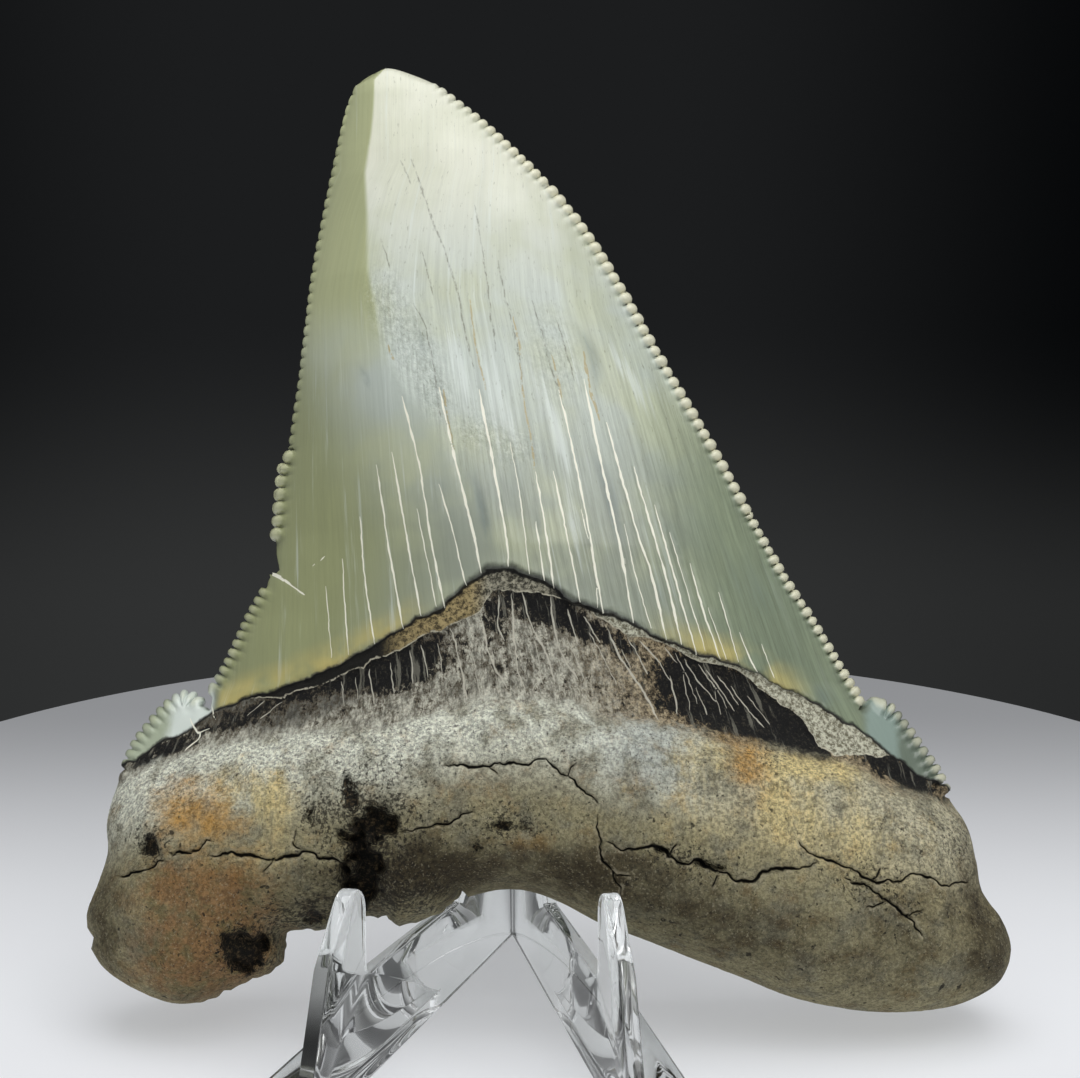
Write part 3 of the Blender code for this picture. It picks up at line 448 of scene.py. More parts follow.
def rough(points, size, seed):
    """Smooth noise from -1 to 1, with lumps of about the given size."""
    cells = 97
    grid = np.random.default_rng(seed).uniform(-1.0, 1.0, (cells, cells))
    place = np.asarray(points) / size + 1000.0
    cell = np.floor(place).astype(int)
    u, v = (place - cell).T
    u, v = u * u * (3.0 - 2.0 * u), v * v * (3.0 - 2.0 * v)
    i, j = (cell % cells).T
    i_next, j_next = (i + 1) % cells, (j + 1) % cells
    near = grid[i, j] * (1.0 - u) + grid[i_next, j] * u
    far = grid[i, j_next] * (1.0 - u) + grid[i_next, j_next] * u
    return near * (1.0 - v) + far * v


def layered(points, seed, *layers):
    """Noise in layers, each with the size of its lumps and its height, and each from the next seed."""
    return sum(height * rough(points, size, seed + i) for i, (size, height) in enumerate(layers))


def nearest(points, samples):
    """Distance from each point to the closest sample, and which sample that is."""
    tree = KDTree(len(samples))
    for i, (a, b) in enumerate(samples):
        tree.insert((a, b, 0.0), i)
    tree.balance()
    found = [tree.find((a, b, 0.0)) for a, b in points]
    return np.array([hit[2] for hit in found]), np.array([hit[1] for hit in found])


def tooth_outline():
    """The closed outline, the same without beads, half its rim's thickness, what is root, and its beads.

    The beads are samples along the cutting edges: place, how many pitches along, and size.
    """
    edge, bare, rim, root, beads = [], [], [], [], []
    bead_seed = np.random.default_rng(5)
    for style, points in OUTLINE:
        serrated = isinstance(style, tuple)
        pitch, size, reach = style if serrated else (0.0, 0.0, 0.0)
        line = even_line(points, pitch / BEAD_STEPS if serrated else ROOT_STEP, style != "broken")
        moved = line
        if serrated:
            turn = np.arange(len(line)) / BEAD_STEPS
            each = bead_seed.uniform(0.8, 1.15, int(turn[-1]) + 2)[turn.astype(int)]
            from_tip = np.hypot(line[:, 0] - TIP[0], line[:, 1] - TIP[1])
            grown = size * each * np.clip((from_tip + 3.0) / FINE_TIP_LENGTH, 0.25, 1.0)
            arch = np.sqrt(np.clip(1.0 - ((2.0 * (turn % 1.0) - 1.0) / BEAD_FILL) ** 2, 0.0, 1.0))
            moved = line - outward(line) * (BEAD_DEPTH * grown * (1.0 - arch))[:, None]
            fine = np.linspace(0.0, len(line) - 1.0, 3 * len(line))
            columns = (line[:, 0], line[:, 1], turn, grown, reach * np.sqrt(each))
            beads.append(np.column_stack([np.interp(fine, np.arange(len(line)), c) for c in columns]))
        elif style == "broken":
            moved = line + outward(line) * layered(line, 31, *BROKEN_EDGE)[:, None]
            moved[[0, -1]] = line[[0, -1]]
        in_root = line.mean(axis=0)[1] < 15.0
        edge.append(moved[:-1])
        bare.append(line[:-1])
        rim.append(np.full(len(line) - 1, RIM_ROOT if in_root else RIM_CROWN))
        root.append(np.full(len(line) - 1, in_root))
    rim = np.concatenate(rim)
    for _ in range(6):
        rim = (np.roll(rim, 1) + 2 * rim + np.roll(rim, -1)) / 4
    return np.vstack(edge), np.vstack(bare), rim, np.concatenate(root), np.vstack(beads)


def across_crown(a, b):
    """Place across the crown, from -1 at its left edge to 1 at its right edge."""
    left = read_at(CROWN_LEFT, b)
    right = read_at(CROWN_RIGHT, b)
    return np.clip(2.0 * (a - left) / (right - left) - 1.0, -1.0, 1.0)


def crown_front(a, b, from_edge):
    """Height of the crown's front: a lens whose crest runs close to the left edge near the tip."""
    u = across_crown(a, b)
    crest = read_at(CROWN_CREST, b)
    swell = read_at(CROWN_SWELL, b)
    keen = read_at(CROWN_KEENNESS, b)
    t = np.where(u < crest, (crest - u) / (1.0 + crest), (u - crest) / (1.0 - crest))
    lens = swell * (1.0 - t ** np.where(u < crest, keen, CREST_FALL)) ** LENS_FULLNESS
    land = RIM_CROWN + LAND_RISE * (1.0 - np.exp(-from_edge / LAND_WIDTH))
    cusplet = CUSPLET_SWELL * (1.0 - np.exp(-from_edge / CUSPLET_ROUND)) * ease(np.abs(a), *CUSPLETS_FROM)
    return np.maximum(lens, cusplet) + land


def root_middle(a, b):
    """The middle of the root's thickness, which comes forward of the crown's edges."""
    collar = read_at(COLLAR_LINE, a)
    return ROOT_MIDDLE * (1.0 - ease(b, collar - 7.0, collar + 0.5))


def rounded_off(from_rim, reach):
    """0 at the rim and 1 from the given reach inwards, with a quarter circle between."""
    return np.sqrt(1.0 - (1.0 - np.clip(from_rim / reach, 0.0, 1.0)) ** 2)


def root_front(a, b, from_rim):
    """Height of the root's front: a broad swelling, rounded to the rim."""
    side = np.abs(a) / ROOT_SPAN
    ridge = read_at(ROOT_RIDGE, np.abs(a))
    full = ROOT_SWELL[0] - ROOT_SWELL[1] * side ** 2
    fall = (ROOT_FALL[0] + ROOT_FALL[1] * side ** 1.5) * np.clip((b - ridge) / ROOT_FALL_REACH, 0.0, 1.6) ** 2
    uneven = ROOT_WAVES[0] * np.sin(0.55 * a + 0.35 * b) * np.sin(0.5 * b - 0.2 * a + 1.0)
    uneven += ROOT_WAVES[1] * np.sin(1.3 * a + 0.9 * b)
    rounding = rounded_off(from_rim, ROOT_ROUND * (1.0 - 0.25 * np.exp(-(a / 9.0) ** 2)))
    middle = root_middle(a, b)
    return middle + RIM_ROOT + (full - fall + uneven - middle) * rounding


def place_in_spot(points, middle, half, turn):
    """Each point's place in a turned spot, where 1 is as far out as its half size."""
    a, b = points.T
    c, s = math.cos(math.radians(turn)), math.sin(math.radians(turn))
    p = ((a - middle[0]) * c + (b - middle[1]) * s) / half[0]
    q = ((b - middle[1]) * c - (a - middle[0]) * s) / half[1]
    return p, q


def patches(points, spots):
    """How strongly each point is inside soft spots, each with its own strength."""
    total = np.zeros(len(points))
    for middle, half, turn, strength in spots:
        p, q = place_in_spot(points, middle, half, turn)
        total += strength * np.exp(-0.7 * (p * p + q * q) ** 1.3)
    return total


def hollow_fields(points):
    """How deep each point lies in the hollows, and how far inside a hollow's ragged rim it is."""
    wander = layered(points, 41, *HOLLOW_RIM)
    depth = np.zeros(len(points))
    inside = np.full(len(points), NOWHERE)
    for middle, half, turn, deep in HOLLOWS:
        reach = np.hypot(*place_in_spot(points, middle, half, turn)) + wander
        depth = np.maximum(depth, deep * (1.0 - ease(reach, 0.55, 1.0)))
        inside = np.maximum(inside, (1.0 - reach) * min(half))
    return depth, inside


def wandering(points, amount):
    """Close samples along a line through a few points, which wander to both sides in short steps."""
    line = even_line(points, SAMPLE_STEP)
    side = layered(line, 71, (0.9, 1.0), (0.4 * 0.9, 0.8), (0.2 * 0.9, 0.4))
    return line + (amount * side)[:, None] * outward(line)


def line_samples(lines, wander):
    """Close samples along cracks: their places, and half the crack's width there, thinner at its ends."""
    places, widths = [], []
    for width, points in lines:
        line = wandering(points, wander)
        share = np.linspace(0.0, 1.0, len(line))
        taper = np.minimum(1.0, 6.0 * np.minimum(share, 1.0 - share) + 0.25)
        places.append(line)
        widths.append(0.5 * width * taper * (1.0 + 0.6 * rough(line, 0.7, 73)))
    return np.vstack(places), np.concatenate(widths)


def into_lines(points, lines, wander):
    """How far inside the nearest crack each point is; it is negative outside."""
    places, widths = line_samples(lines, wander)
    gap, index = nearest(points, places)
    return widths[index] - gap


def soft_streaks(points, lines):
    """How strongly each point is inside soft streaks, which fade towards both ends."""
    total = np.zeros(len(points))
    for half_width, strength, corners in lines:
        line = even_line(corners, LINE_STEP)
        gap, index = nearest(points, line)
        share = index / (len(line) - 1.0)
        total += strength * ease(np.minimum(share, 1.0 - share), 0.0, 0.5) * np.exp(-(gap / half_width) ** 2)
    return total


def stains(points):
    """How strongly each point is stained in each colour."""
    return {
        "orange": patches(points, ORANGE_STAINS), "yellow": patches(points, YELLOW_STAINS),
        "dark": patches(points, DARK_STAINS), "rust": patches(points, RUST_STAINS),
        "rippled": patches(points, RIPPLE_PATCHES),
    }


def front_fields(points, bare_line, root_line, beads):
    """The front's height at each point, and what the finish needs to know there."""
    a, b = points.T
    from_edge, _ = nearest(points, bare_line)
    from_rim, _ = nearest(points, root_line)
    collar = read_at(COLLAR_LINE, a)
    enamel = b - read_at(ENAMEL_LINE, a) - layered(points, 11, *ENAMEL_FRAY)
    flake = b - read_at(FLAKE_LINE, a) - layered(points, 13, *FLAKE_FRAY)
    on_tongue = (a > TONGUE_SPAN[0]) & (a < TONGUE_SPAN[1])
    tongue = np.where(on_tongue, read_at(TONGUE_TOP, a) - b, NOWHERE)
    inner = ease(24.0 - np.abs(a), 0.0, 3.0)
    blend = np.interp(np.abs(a), [18.0, 28.0], [2.6, 1.0])
    crown = ease(b - collar, -blend, 0.6 * blend)
    height = crown * crown_front(a, b, from_edge) + (1.0 - crown) * root_front(a, b, from_rim)
    height += ENAMEL_STEP * ease(enamel, -0.12, 0.12) * inner
    height -= FLAKE_STEP * (b > collar) * ease(-flake, -0.1, 0.1) * inner
    width = np.maximum(read_at(CROWN_RIGHT, b) - read_at(CROWN_LEFT, b), 16.0)
    streak = (a - read_at(STREAK_SHIFT, b)) * (0.6 + 0.4 * 30.0 / width)
    along = np.column_stack([streak, STREAK_STRETCH * b])
    height += ease(enamel, 0.0, 2.0) * ease(from_edge, 0.8, 2.5) * layered(along, 15, *ENAMEL_GROOVES)
    height += ease(enamel, 0.2, 1.0) * ease(from_edge, 1.0, 3.0) * 0.04 * rough(points, 4.2, 17)
    band = ease(b - collar, -0.6, 0.8) * ease(-flake, 0.0, 0.3)
    fibres = np.column_stack([streak, 0.25 * b])
    height += band * (0.07 * rough(fibres, 0.5, 18) + 0.05 * rough(points, 0.5, 19))
    root_share = (1.0 - ease(b - collar, -0.5, 0.6)) * ease(-enamel, 0.0, 0.3)
    height += root_share * ease(from_rim, 0.3, 2.0) * layered(points, 20, *ROOT_LUMPS)
    hairline = into_lines(points, HAIRLINES, HAIR_WANDER)
    band_crack = into_lines(points, BAND_CRACKS, BAND_WANDER)
    crack = into_lines(points, ROOT_CRACKS, CRACK_WANDER)
    hollow, in_hollow = hollow_fields(points)
    height -= HAIR_DEPTH * ease(hairline, -0.08, 0.03) + BAND_CRACK_DEPTH * ease(band_crack, -0.08, 0.03)
    height -= CRACK_DEPTH * ease(crack, -0.1, 0.1) + hollow
    height = np.maximum(height, root_middle(a, b) + RIM_CROWN + 0.1)
    fields = {
        "above_enamel": enamel, "above_flake": flake, "above_collar": b - collar,
        "in_tongue": np.minimum(tongue, -enamel), "in_hairline": hairline, "in_band_crack": band_crack,
        "in_crack": crack, "in_hollow": in_hollow, "root_share": root_share,
        "in_scratch": into_lines(points, SCRATCHES, SCRATCH_WANDER),
        "in_golden": into_lines(points, GOLDEN_SCRATCHES, SCRATCH_WANDER),
        "black": patches(points, BLACK_PATCHES), "peppered": patches(points, PEPPERED),
        "slate": soft_streaks(points, SLATE_STREAKS), "painted_sheen": soft_streaks(points, PAINTED_SHEEN_STREAKS),
        "across": a, "facet": across_crown(a, b) - read_at(CROWN_CREST, b),
        "streak": streak, "up": b, "on_front": np.ones(len(points)),
    }
    return height, {**fields, **stains(points), **bead_fields(points, beads)}


def back_fields(points, bare_line, root_line, beads):
    """The back's height at each point: a nearly flat crown over a fuller root, and the same finish fields."""
    a, b = points.T
    from_edge, _ = nearest(points, bare_line)
    from_rim, _ = nearest(points, root_line)
    u = across_crown(a, b)
    full = BACK_CROWN_SWELL[0] + BACK_CROWN_SWELL[1] * np.interp(b, [20, 72], [1.0, 0.3])
    crown_depth = RIM_CROWN + full * (1.0 - u * u) ** 0.7
    rounding = rounded_off(from_rim, ROOT_ROUND)
    lobes = np.exp(-((np.abs(a) - LOBE_MIDDLE) / LOBE_REACH) ** 2)
    fade = 1.0 - ease(b, 11.0, 19.0) * ease(np.abs(a), 20.0, 31.0)
    middle = root_middle(a, b)
    swell = BACK_ROOT_SWELL + LOBE_SWELL * lobes + middle
    root_depth = RIM_ROOT * fade - middle + swell * rounding * (0.25 + 0.75 * fade)
    line = read_at(BACK_ENAMEL_LINE, a)
    crown = ease(b - line, -2.5, 1.5)
    depth = crown * crown_depth + (1.0 - crown) * root_depth
    enamel = b - line - layered(points, 51, *BACK_ENAMEL_FRAY)
    depth += BACK_ENAMEL_STEP * ease(enamel, -0.15, 0.15) * ease(29.0 - np.abs(a), 0.0, 4.0)
    streak = a - read_at(STREAK_SHIFT, b)
    along = np.column_stack([streak, STREAK_STRETCH * b])
    depth += ease(enamel, 0.0, 2.0) * ease(from_edge, 0.8, 2.5) * layered(along, 53, *BACK_GROOVES)
    root_share = ease(-enamel, 0.0, 0.5)
    depth += root_share * ease(from_rim, 0.3, 2.0) * layered(points, 54, *BACK_ROOT_LUMPS)
    lines = ("in_tongue", "in_hairline", "in_band_crack", "in_crack", "in_hollow", "in_scratch", "in_golden")
    fields = {
        **{name: np.full(len(points), NOWHERE) for name in lines},
        **{name: np.zeros(len(points)) for name in ("black", "painted_sheen", "on_front")},
        "above_enamel": enamel, "above_flake": enamel, "above_collar": enamel, "root_share": root_share,
        "slate": soft_streaks(points, SLATE_STREAKS[:4]), "peppered": patches(points, PEPPERED[:4]),
        "across": a, "facet": np.ones(len(points)), "streak": streak, "up": b,
    }
    heights = -np.maximum(depth, RIM_CROWN + 0.1 - middle)
    return heights, {**fields, **stains(points), **bead_fields(points, beads)}


def bead_fields(points, beads):
    """Where each point lies along and in from the cutting edges, and the size of the bead there."""
    gap, index = nearest(points, beads[:, :2])
    return {"bead_turn": beads[index, 2], "from_cut": gap, "bead_size": beads[index, 3],
            "bead_reach": beads[index, 4]}


def add_points(kept, candidates, spacing):
    """The points kept so far, with the candidates that stay clear of them."""
    gap, _ = nearest(candidates, kept)
    return np.vstack([kept, candidates[gap > spacing]])


def inner_points(bare, root, grid, front):
    """Points inside the outline: rows along it, rows along the cracks and steps, and a grid between them."""
    inward = -outward(np.vstack([bare[-1:], bare, bare[:1]]))[1:-1]
    kept = bare
    for inset in BEAD_ROWS:
        kept = add_points(kept, (bare + inset * inward)[~root], FINE_GAP)
    for inset in ROOT_ROWS:
        kept = add_points(kept, (bare + inset * inward)[root], ROOT_GAP)
    if front:
        kinds = (
            (ROOT_CRACKS, CRACK_WANDER, (0.0, 0.1, 0.22)), (HAIRLINES, HAIR_WANDER, (0.0, 0.11)),
            (BAND_CRACKS, BAND_WANDER, (0.0, 0.11)), (SCRATCHES, SCRATCH_WANDER, (0.0, 0.1)),
            (GOLDEN_SCRATCHES, SCRATCH_WANDER, (0.0, 0.1)),
        )
        for lines, wander, spread in kinds:
            for _, points in lines:
                line = wandering(points, wander)[::4]
                for offset in spread:
                    kept = add_points(kept, line + offset * outward(line), FINE_GAP)
                    kept = add_points(kept, line - offset * outward(line), FINE_GAP)
        heights = np.arange(CREST_FROM, 71.5, LINE_STEP)
        left, right = read_at(CROWN_LEFT, heights), read_at(CROWN_RIGHT, heights)
        crest = left + 0.5 * (read_at(CROWN_CREST, heights) + 1.0) * (right - left)
        for offset in CREST_ROWS:
            kept = add_points(kept, np.column_stack([crest + offset, heights]), CREST_GAP)
    cells = np.array([
        (a + 0.5 * grid * (i % 2), b)
        for i, b in enumerate(np.arange(0.2, 72.2, grid * 0.87)) for a in np.arange(-34.0, 35.0, grid)
    ])
    shake = 0.12 * grid * np.random.default_rng(9).standard_normal(cells.shape)
    kept = add_points(kept, cells + shake, 0.5 * grid)
    return kept[len(bare):]


def is_inside(points, line):
    """Whether each point is inside a closed line."""
    inside = np.zeros(len(points), bool)
    for p, q in zip(line, np.roll(line, -1, axis=0)):
        if p[1] != q[1]:
            crossing = (points[:, 1] > min(p[1], q[1])) & (points[:, 1] <= max(p[1], q[1]))
            at = p[0] + (points[:, 1] - p[1]) * (q[0] - p[0]) / (q[1] - p[1])
            inside ^= crossing & (points[:, 0] < at)
    return inside


def triangles(edge, inner):
    """Triangles between the outline and the points inside it, which keep their order."""
    points = [Vector(p) for p in np.vstack([edge, inner]).tolist()]
    found = delaunay_2d_cdt(points, [], [list(range(len(edge)))], 1, 1e-7)
    place = [sources[0] for sources in found[3]]
    return [[place[k] for k in face] for face in found[2]]


def in_world(points, heights):
    """Points of the tooth's plane, at their heights, as metres in the part's frame."""
    a, b = points.T
    return np.column_stack([
        TOOTH_X + a,
        TOOTH_Y + b * math.sin(LEAN) - heights * math.cos(LEAN),
        LOBE_HEIGHT + b * math.cos(LEAN) + heights * math.sin(LEAN),
    ]) * MM


def new_piece(name, vertices, faces):
    """A new object from vertices in metres."""
    mesh = bpy.data.meshes.new(name)
    mesh.from_pydata([tuple(v) for v in vertices], [], faces)
    piece = bpy.data.objects.new(name, mesh)
    bpy.context.scene.collection.objects.link(piece)
    return piece


class Wire:
    """A socket that gives a value; arithmetic on it adds Math nodes to its tree."""

    def __init__(self, maker, socket):
        self.maker = maker
        self.socket = socket

    def maths(self, operation, *values):
        return self.maker.node("ShaderNodeMath", {"operation": operation}, dict(enumerate(values)))

    def __add__(self, other):
        return self.maths("ADD", self, other)

    def __sub__(self, other):
        return self.maths("SUBTRACT", self, other)

    def __rsub__(self, other):
        return self.maths("SUBTRACT", other, self)

    def __mul__(self, other):
        return self.maths("MULTIPLY", self, other)

    def __truediv__(self, other):
        return self.maths("DIVIDE", self, other)

    def __rtruediv__(self, other):
        return self.maths("DIVIDE", other, self)

    def __pow__(self, other):
        return self.maths("POWER", self, other)

    def __abs__(self):
        return self.maths("ABSOLUTE", self)

    __radd__ = __add__
    __rmul__ = __mul__

    def least(self, other):
        return self.maths("MINIMUM", self, other)

    def most(self, other):
        return self.maths("MAXIMUM", self, other)

    def rise(self, low, high):
        """0 below low and 1 above high, with a smooth rise between."""
        limits = {"Value": self, "From Min": low, "From Max": high}
        return self.maker.node("ShaderNodeMapRange", {"interpolation_type": "SMOOTHSTEP"}, limits)


class Tree:
    """A node tree under construction."""

    def __init__(self, tree):
        self.tree = tree

    def fill(self, node, inputs):
        """Sets or links a node's inputs, named by their names or places."""
        for name, value in inputs.items():
            socket = node.inputs[name]
            if isinstance(value, Wire):
                self.tree.links.new(value.socket, socket)
            else:
                socket.default_value = value

    def node(self, kind, settings=None, inputs=None, output=0):
        """Adds a node: its settings are made first, then the values or links of its sockets."""
        node = self.tree.nodes.new(kind)
        for name, value in (settings or {}).items():
            setattr(node, name, value)
        self.fill(node, inputs or {})
        return Wire(self, node.outputs[output])

    def axes(self, vector):
        """The three parts of a vector."""
        node = self.node("ShaderNodeSeparateXYZ", inputs={0: vector}).socket.node
        return [Wire(self, node.outputs[axis]) for axis in "XYZ"]

    def mix(self, share, under, over):
        """One colour over another."""
        return self.node("ShaderNodeMix", {"data_type": "RGBA"}, {0: share, 6: under, 7: over}, output=2)


class Finish(Tree):
    """A material with one Principled shader, and short names for the nodes that it needs most."""

    def __init__(self, name):
        self.material = bpy.data.materials.new(name)
        self.material.use_nodes = True
        super().__init__(self.material.node_tree)
        self.shader = self.tree.nodes["Principled BSDF"]

    def coordinates(self):
        """Object coordinates, in millimetres."""
        return self.scaled(self.node("ShaderNodeTexCoord", output="Object"), 1.0 / MM)

    def scaled(self, vector, scale):
        """A vector, or a colour, with its three parts multiplied by the same value."""
        return self.node("ShaderNodeVectorMath", {"operation": "SCALE"}, {0: vector, "Scale": scale})

    def field(self, name):
        return self.node("ShaderNodeAttribute", {"attribute_name": name}, output="Fac")

    def vector(self, *parts):
        return self.node("ShaderNodeCombineXYZ", inputs=dict(enumerate(parts)))

    def noise(self, vector, scale, detail=2.0, coarse=0.5):
        inputs = {"Vector": vector, "Scale": scale, "Detail": detail, "Roughness": coarse}
        return self.node("ShaderNodeTexNoise", inputs=inputs)

    def bump(self, height):
        """A normal that is tilted by a height in millimetres."""
        return self.node("ShaderNodeBump", inputs={"Strength": 1.0, "Distance": MM, "Height": height})


def colour(red, green, blue):
    """A colour from its screen values out of 255."""
    parts = [c / 255.0 for c in (red, green, blue)]
    return (*[c / 12.92 if c <= 0.04045 else ((c + 0.055) / 1.055) ** 2.4 for c in parts], 1.0)


def enamel_colour(f, place, streak, up):
    """Green-grey enamel: cream at the tip, olive at its left, slate streaks and painted sheen along its
    streaks.
    """
    facet, across = f.field("facet"), f.field("across")
    on_cusplet = abs(across).rise(23.6, 24.6)
    crown = 1 - on_cusplet
    lines = f.noise(f.vector(streak, up * 0.03, 0.0), 3.4, 6.0, 0.82)
    bars = f.noise(f.vector(streak, up * 0.05, 4.0), 0.9, 2.0, 0.6)
    # Darker towards the crown's base: partly the enamel's own greyer colour there, partly painted shade where
    # its face turns down from the light; cream at the tip
    pale = f.mix(up.rise(32.0, 50.0), colour(143, 150, 134), colour(190, 199, 190))
    pale = f.mix(up.rise(50.0, 66.0), pale, colour(219, 220, 201))
    cloud = 0.7 * f.noise(place, 0.16, 3.0).rise(0.4, 0.7) * (1 - 0.5 * up.rise(56.0, 66.0))
    base = f.mix(cloud, pale, colour(184, 189, 156))
    right = across.rise(5.0, 15.0) * (1 - up.rise(38.0, 56.0))
    base = f.mix(0.85 * right, base, colour(118, 131, 106))
    side = (1 - facet.rise(-0.62, -0.1)) * (1 - up.rise(46.0, 56.0))
    base = f.mix(0.9 * side * crown, base, colour(146, 151, 106))
    olive = facet.rise(0.03, -0.02) * up.rise(46.0, 54.0)
    base = f.mix(olive * crown, base, colour(181, 186, 142))
    hem = (1 - f.field("above_enamel").rise(0.4, 2.6)) * f.noise(place, 0.35, 3.0).rise(0.25, 0.55)
    outer = abs(across).rise(7.0, 12.0) * (1 - across.rise(17.0, 21.0))
    base = f.mix(0.85 * hem * outer * crown, base, colour(192, 178, 110))
    slate = 0.75 * f.field("slate") + 0.9 * (bars - 0.5) + 1.1 * (lines - 0.5)
    base = f.mix(0.7 * slate.rise(0.05, 0.95) * crown, base, colour(96, 110, 110))
    calm = up.rise(44.0, 60.0).most(1 - facet.rise(-0.02, 0.04))
    base = f.scaled(base, 0.985 + (lines - 0.5) * (1.7 - 1.25 * calm))
    # Painted sheen: pale silvery streaks that stand in for highlights, weaker at the right
    painted_sheen = f.noise(f.vector(streak, up * 0.03, 7.0), 1.9, 4.0, 0.7)
    shine = (f.field("painted_sheen") * 0.3 + painted_sheen).rise(0.56, 0.8)
    base = f.mix(0.62 * shine * crown * (1 - 0.8 * right), base, colour(218, 226, 220))
    dots = f.noise(f.vector(streak * 3.0, up * 0.7, 2.0), 1.5, 4.0, 0.75).rise(0.6, 0.68)
    base = f.mix(0.5 * dots * up.rise(33.0, 44.0) * facet.rise(0.0, 0.15), base, colour(108, 108, 86))
    hammered = f.noise(f.vector(streak * 1.6, up * 1.0, 8.0), 2.2, 3.0, 0.7)
    base = f.mix(f.field("rippled") * 0.34 * hammered.rise(0.48, 0.64), base, colour(120, 128, 110))
    base = f.mix(f.field("rippled") * 0.34 * (1 - hammered.rise(0.34, 0.48)), base, colour(224, 230, 218))
    broken = f.noise(f.vector(streak * 2.0, up * 1.2, 3.0), 1.6, 3.0, 0.7)
    dark_scratch = f.field("in_scratch").rise(-0.06, 0.03) * broken.rise(0.34, 0.6)
    base = f.mix(0.62 * dark_scratch, base, colour(84, 82, 62))
    golden_scratch = f.field("in_golden").rise(-0.07, 0.02) * broken.rise(0.36, 0.5)
    base = f.mix(0.8 * golden_scratch, base, colour(172, 156, 108))
    left = 1 - across.rise(-24.6, -24.0)
    clouded = f.noise(f.vector(across * 0.8, up * 0.5, 2.0), 0.9, 4.0, 0.7) - 0.5
    # Painted highlight: a pale band across the left cusplet
    bright = (1 - abs(across + 25.6).rise(0.9, 3.2) + 0.8 * clouded).rise(0.1, 0.8)
    cusplet_painted_highlight = f.mix(bright, colour(170, 180, 156), colour(222, 231, 224))
    base = f.mix(0.88 * on_cusplet * left, base, cusplet_painted_highlight)
    # Painted sheen: a pale band on the grey right cusplet
    sheen = (1 - abs(across - 25.4).rise(0.4, 2.2) + 0.9 * clouded).rise(0.2, 0.9)
    cusplet_painted_sheen = f.mix(0.7 * sheen, colour(102, 114, 102), colour(150, 170, 164))
    base = f.mix(0.85 * on_cusplet * (1 - left), base, cusplet_painted_sheen)
    size = f.field("bead_size")
    # Painted shade in the notches between the beads, near the cutting edge
    painted_notch_shade = (1 - f.field("bead").rise(0.02, 0.3)) * (1 - f.field("from_cut").rise(0.3, 0.8))
    base = f.mix(0.45 * painted_notch_shade * size.rise(0.5, 0.9), base, colour(92, 96, 72))
    knob = f.field("bead").rise(0.15, 0.6) * (1 - f.field("from_cut").rise(0.5, 1.1))
    knob_tone = f.mix(across.rise(-16.0, -8.0), colour(204, 206, 168), colour(230, 227, 200))
    return f.mix((0.3 + 0.56 * size.rise(0.3, 0.9) - 0.2 * on_cusplet) * knob, base, knob_tone)


def band_colour(f, place, streak, up):
    """The band below the enamel: fibrous grey and brown, with ragged black patches."""
    fibres = f.noise(f.vector(streak, up * 0.35, 1.0), 2.8, 4.0, 0.8)
    grain = f.noise(place, 3.8, 3.0, 0.75)
    grey = f.mix(fibres.rise(0.34, 0.66), colour(94, 91, 80), colour(200, 198, 182))
    brown = f.mix(grain.rise(0.36, 0.62), colour(72, 60, 44), colour(182, 166, 134))
    base = f.mix(streak.rise(-6.0, 2.0), grey, brown)
    sooty = f.field("across").rise(-5.0, -9.0) * f.field("above_flake").rise(-3.4, -1.2)
    soot = (sooty + 0.8 * (f.noise(place, 0.7, 4.0, 0.7) - 0.5)).rise(0.1, 0.8)
    base = f.mix(0.72 * soot, base, colour(58, 57, 52))
    flecks = f.noise(place, 5.6, 2.0, 0.8)
    base = f.scaled(base, 0.25 + 1.6 * flecks)
    wander = f.noise(place, 0.55, 4.0, 0.85) - 0.5
    shreds = f.noise(f.vector(streak, up * 0.45, 3.0), 3.0, 4.0, 0.85) - 0.5
    broken = f.field("black") + 1.8 * wander + 2.4 * shreds + 1.2 * (f.noise(place, 1.5, 3.0, 0.8) - 0.5)
    stained = f.mix(0.75 * broken.rise(-0.05, 0.36), base, colour(76, 64, 44))
    dust = f.noise(place, 4.4, 3.0, 0.8).rise(0.52, 0.72)
    coal = f.mix(0.55 * dust, colour(4, 4, 4), colour(88, 82, 66))
    hairs = f.noise(f.vector(streak + 0.35 * wander, up * 0.07, 11.0), 3.6, 3.0, 0.6)
    coal = f.mix(0.7 * hairs.rise(0.57, 0.66), coal, colour(122, 120, 108))
    return f.mix(broken.rise(0.3, 0.46), stained, coal)


